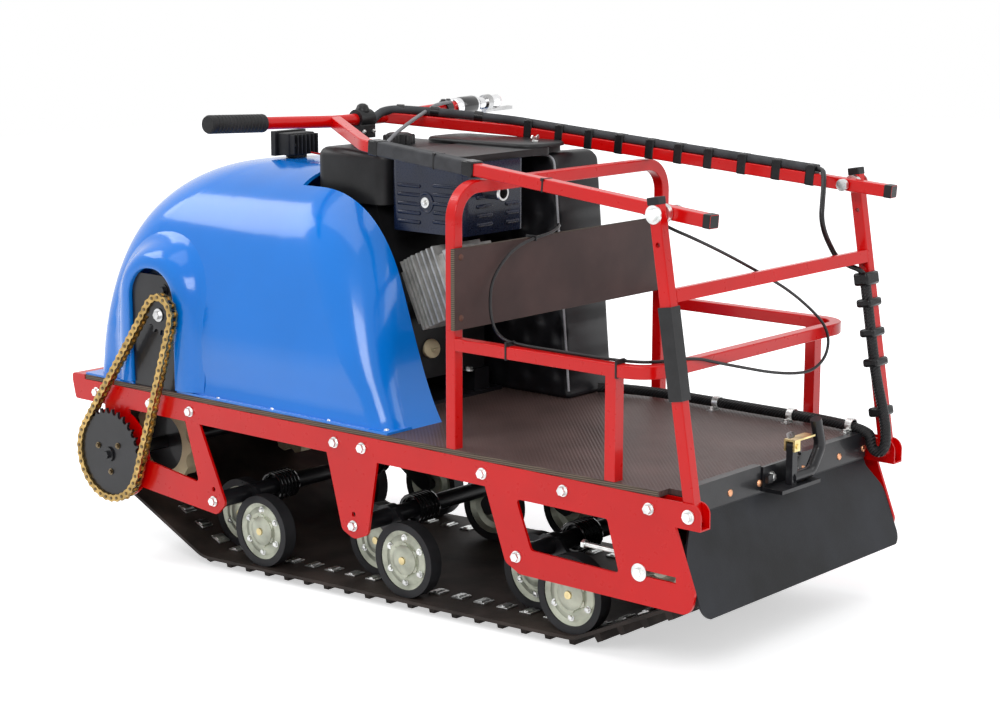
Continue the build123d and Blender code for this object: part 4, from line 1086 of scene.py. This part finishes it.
# %% Hubs
BOGIES = [(1047.0, -157.0), (694.0, -139.0), (332.0, -124.0)]  # pivot x and z
BOGIE_ARM = 67
AXLE_Z = -175.5
WHEELS = [(-1, 240.0), (1, 166.0)]  # behind or ahead of the pivot, outer face
WHEEL_BOLTS = 6
IDLER_X, IDLER_Z = 89, -102

bolts, caps, plugs = bmesh.new(), bmesh.new(), bmesh.new()
for pivot_x, _ in BOGIES:
    for ahead, face in WHEELS:
        x = pivot_x + ahead * BOGIE_ARM
        z = AXLE_Z - GROUND_SLOPE * x
        for side in (1, -1):
            way, face_y = (0, side, 0), side * (face - 7)
            turned(caps, [(27, 0), (26, 5), (20, 8), (14, 9), (0, 9)], (x, face_y, z), way, 28)
            for k in range(WHEEL_BOLTS):
                turn = k * 2 * pi / WHEEL_BOLTS + 0.5
                out_x, out_z = cos(turn), sin(turn)
                turned(caps, [(8, -2), (7, 3.5), (0, 4)], (x + 24 * out_x, face_y, z + 24 * out_z), way, 14)
                bolt(bolts, (x + 39 * out_x, side * (face - 6.2), z + 39 * out_z), way, 4.4, 6.0, 3.5)
            turned(plugs, [(7, 0), (6.5, 2.5), (0, 3.2)], (x, face_y + side * 8.8, z), way, 20)
for side in (1, -1):
    turned(caps, [(20, 0), (20, 4), (16, 6), (10.5, 6.5), (10.5, 0)],
           (IDLER_X, side * 236, IDLER_Z), (0, side, 0), 24)
finished("hub_caps", caps, "disc_paint")
finished("hub_plugs", plugs, "brass_plug")
finished("wheel_bolts", bolts, "zinc_plate")

# %% [markdown]
# A bogie spring is a thick wire wound round its pivot tube: a small circle is spun about the tube while
# it also moves along it, which is what the spin operator's step vector is for.

# %% Spring coils
COIL_TURNS, COIL_STEPS, COIL_LONG = 6, 120, 50
COIL_R, COIL_WIRE_R = 24, 3.3

bm = bmesh.new()
for pivot_x, pivot_z in BOGIES:
    for side in (1, -1):
        start = Matrix.Translation((pivot_x + COIL_R, side * 98, pivot_z))
        wire = bmesh.ops.create_circle(
            bm, cap_ends=False, segments=8, radius=COIL_WIRE_R, matrix=start)["verts"]
        ring = list({edge for vert in wire for edge in vert.link_edges})
        bmesh.ops.spin(
            bm, geom=wire + ring, cent=(pivot_x, 0, pivot_z), axis=(0, 1, 0),
            dvec=(0, side * COIL_LONG / COIL_STEPS, 0), angle=2 * pi * COIL_TURNS, steps=COIL_STEPS,
            use_duplicate=False)
finished("spring_coils", bm, "gloss_black", nodes=("bogie_springs",))

# %% [markdown]
# ## Chain pins and belt clips
# A roller chain is a row of pins with link plates on both sides. The plates and rollers come from the
# construction, and the pin heads that stand out of the outer plates are added here. The rubber belt
# carries folded steel clips between its sprocket windows. Chain and belt are both loops round circles,
# so one small walk along runs and arcs places both.

# %% Loop walk


def loop_spans(rounds):
    """The runs and arcs of a loop round circles of x, z and radius, one after another."""
    runs = []
    for (x, z, r), (x2, z2, r2) in zip(rounds, rounds[1:] + rounds[:1]):
        along = Vector((x2 - x, z2 - z)).normalized()
        lean_in = (r - r2) / hypot(x2 - x, z2 - z)
        out = along * lean_in + Vector((-along.y, along.x)) * sqrt(1 - lean_in * lean_in)
        runs.append((Vector((x, z)) + out * r, Vector((x2, z2)) + out * r2))
    spans = []
    for k, (x, z, r) in enumerate(rounds):
        arrive, leave = runs[k - 1][1] - Vector((x, z)), runs[k][0] - Vector((x, z))
        start = atan2(arrive.y, arrive.x)
        wrap = (start - atan2(leave.y, leave.x)) % (2 * pi)
        spans.append((r * wrap, Vector((x, z)), r, start))
        spans.append(((runs[k][1] - runs[k][0]).length, *runs[k], None))
    return spans


def loop_places(rounds, count, share=0.0):
    """Evenly spaced points round a loop, from a share of its first arc, each with the way outwards."""
    spans = loop_spans(rounds)
    total = sum(span[0] for span in spans)
    places = []
    for k in range(count):
        s = (spans[0][0] * share + k * total / count) % total
        for length, first, second, start in spans:
            if s <= length:
                break
            s -= length
        if start is None:
            along = (second - first).normalized()
            places.append((first + along * s, Vector((-along.y, along.x))))
        else:
            turn = start - s / second
            out = Vector((cos(turn), sin(turn)))
            places.append((first + out * second, out))
    return places


print("loop walk ready")

# %% [markdown]
# The chain's loop has to hold a whole number of links, so the distance between its shafts is found by
# closing the gap in a few steps. Then every pin gets its head, and three bolts hold the big sprocket.

# %% Chain pins
DRIVE_X, DRIVE_Z = 1313.0, -108.0
LINKS, LINK_PITCH = 64, 15.875
BIG_R, SMALL_R = 33 * LINK_PITCH / (2 * pi), 13 * LINK_PITCH / (2 * pi)
JACK_TURN = radians(118.7)
CHAIN_FACE_Y, SPROCKET_FACE_Y = 315.5, 311
SPROCKET_BOLTS = 3

gap = 300.0
for _ in range(30):
    jack = (DRIVE_X + gap * cos(JACK_TURN), DRIVE_Z + gap * sin(JACK_TURN), SMALL_R)
    chain_rounds = [(DRIVE_X, DRIVE_Z, BIG_R), jack]
    gap += (LINKS * LINK_PITCH - sum(span[0] for span in loop_spans(chain_rounds))) / 2
bm = bmesh.new()
for place, _ in loop_places(chain_rounds, LINKS, 0.5):
    turned(bm, [(3.0, -0.5), (3.0, 0.9), (2.2, 1.5), (0, 1.6)],
           (place.x, CHAIN_FACE_Y, place.y), (0, 1, 0), 12)
finished("chain_pins", bm, "dark_pin")
bm = bmesh.new()
for k in range(SPROCKET_BOLTS):
    turn = k * 2 * pi / SPROCKET_BOLTS + 0.4
    spot = (DRIVE_X + 33 * cos(turn), SPROCKET_FACE_Y, DRIVE_Z + 33 * sin(turn))
    bolt(bm, spot, (0, 1, 0), 4.0, 6.0, 3.0)
finished("sprocket_bolts", bm, "dark_pin")
print("shafts", round(gap, 2), "mm apart")

# %% [markdown]
# A belt clip is a folded steel plate: a wide flat block and a narrower hump on it, turned to lie on the
# belt. Two stand at each of the belt's pitches, apart from those wrapped round the drive sprocket.

# %% Belt clips
BELT_ROUNDS = [(DRIVE_X, DRIVE_Z, 80.8), (1114, -216.7, 65), (265, -185.3, 65), (IDLER_X, IDLER_Z, 65)]
BELT_PITCHES = 58
CLIP_Y = 182
LAST_CLIP_X = 1290
CLIP_LAYERS = [(1.4, (3.2, 27, 24, 1)), (3.6, (2.6, 22, 9, 1))]  # how far inside the belt, size

bm = bmesh.new()
for place, out in loop_places(BELT_ROUNDS, BELT_PITCHES, 0.12):
    if place.x < LAST_CLIP_X:
        turn = Matrix.Rotation(-atan2(out.y, out.x), 4, "Y")
        for side in (1, -1):
            for inward, size in CLIP_LAYERS:
                spot = Matrix.Translation((place.x - out.x * inward, side * CLIP_Y, place.y - out.y * inward))
                bmesh.ops.create_cube(bm, size=1.0, matrix=spot @ turn @ Matrix.Diagonal(size))
finished("belt_clips", bm, "zinc_plate", bevel=0.8)

# %% [markdown]
# ## Deck trim
# Copper rivets hold the angle strip at the deck's rear edge. Each is a small turned dome.

# %% Strip rivets
bm = bmesh.new()
for y in (236, 146, 66, -58, -168, -244):
    rivet(bm, (25, y, 4), (-1, 0, 0), 6.0, 2.6)
finished("strip_rivets", bm, "copper")

# %% [markdown]
# The back board is plywood with a dark film on both faces, so it is a core whose sawn edges show and two
# thin faces on it. The raw edge of the deck shows its layers in the same way, as a thin strip. The
# layers themselves are a matter of the finish.

# %% Back board and edges
BOARD_Y, BOARD_Z = (-269, 297), (226, 357)
FACE_Y, FACE_Z = (-268.6, 296.6), (226.4, 356.6)
DECK_HALF = 288

bm = bmesh.new()
block(bm, (456.6, 464.4), BOARD_Y, BOARD_Z)
finished("board_core", bm, "ply_edge", nodes=("back_board",))
bm = bmesh.new()
for x in ((456, 456.7), (464.3, 465)):
    block(bm, x, FACE_Y, FACE_Z)
finished("board_faces", bm, "ply_film")
bm = bmesh.new()
for side in (1, -1):
    block(bm, (58, 1404), (side * DECK_HALF - 0.2, side * DECK_HALF + 0.5), (20.4, 28.6))
finished("deck_edges", bm, "ply_edge")
bm = bmesh.new()
for y in (-256, 282):
    for z in (245, 343):
        rivet(bm, (456, y, z), (-1, 0, 0), 5.5, 2.0)
finished("board_rivets", bm, "brown_rivet")

# %% [markdown]
# ## Hitch
# Two bolts hold the hitch to the rear edge, and a thin wire spring keeps its latch plate shut. The
# spring is wound like the bogies' springs, and rides on the latch.

# %% Hitch bolts and spring
bm = bmesh.new()
for y in (-26, 38):
    bolt(bm, (22, y, 10), (-1, 0, 0), 6.5, 9.0, 4.5)
finished("hitch_bolts", bm, "zinc_plate")
bm = bmesh.new()
start = Matrix.Translation((2, 11, 71.5)) @ Matrix.Rotation(pi / 2, 4, "X")
wire = bmesh.ops.create_circle(bm, cap_ends=False, segments=8, radius=0.9, matrix=start)["verts"]
ring = list({edge for vert in wire for edge in vert.link_edges})
bmesh.ops.spin(
    bm, geom=wire + ring, cent=(2, 11, 76), axis=(0, 1, 0), dvec=(0, 0.15, 0), angle=2 * pi * 4, steps=64,
    use_duplicate=False)
finished("latch_spring", bm, "bare_steel", "latch")
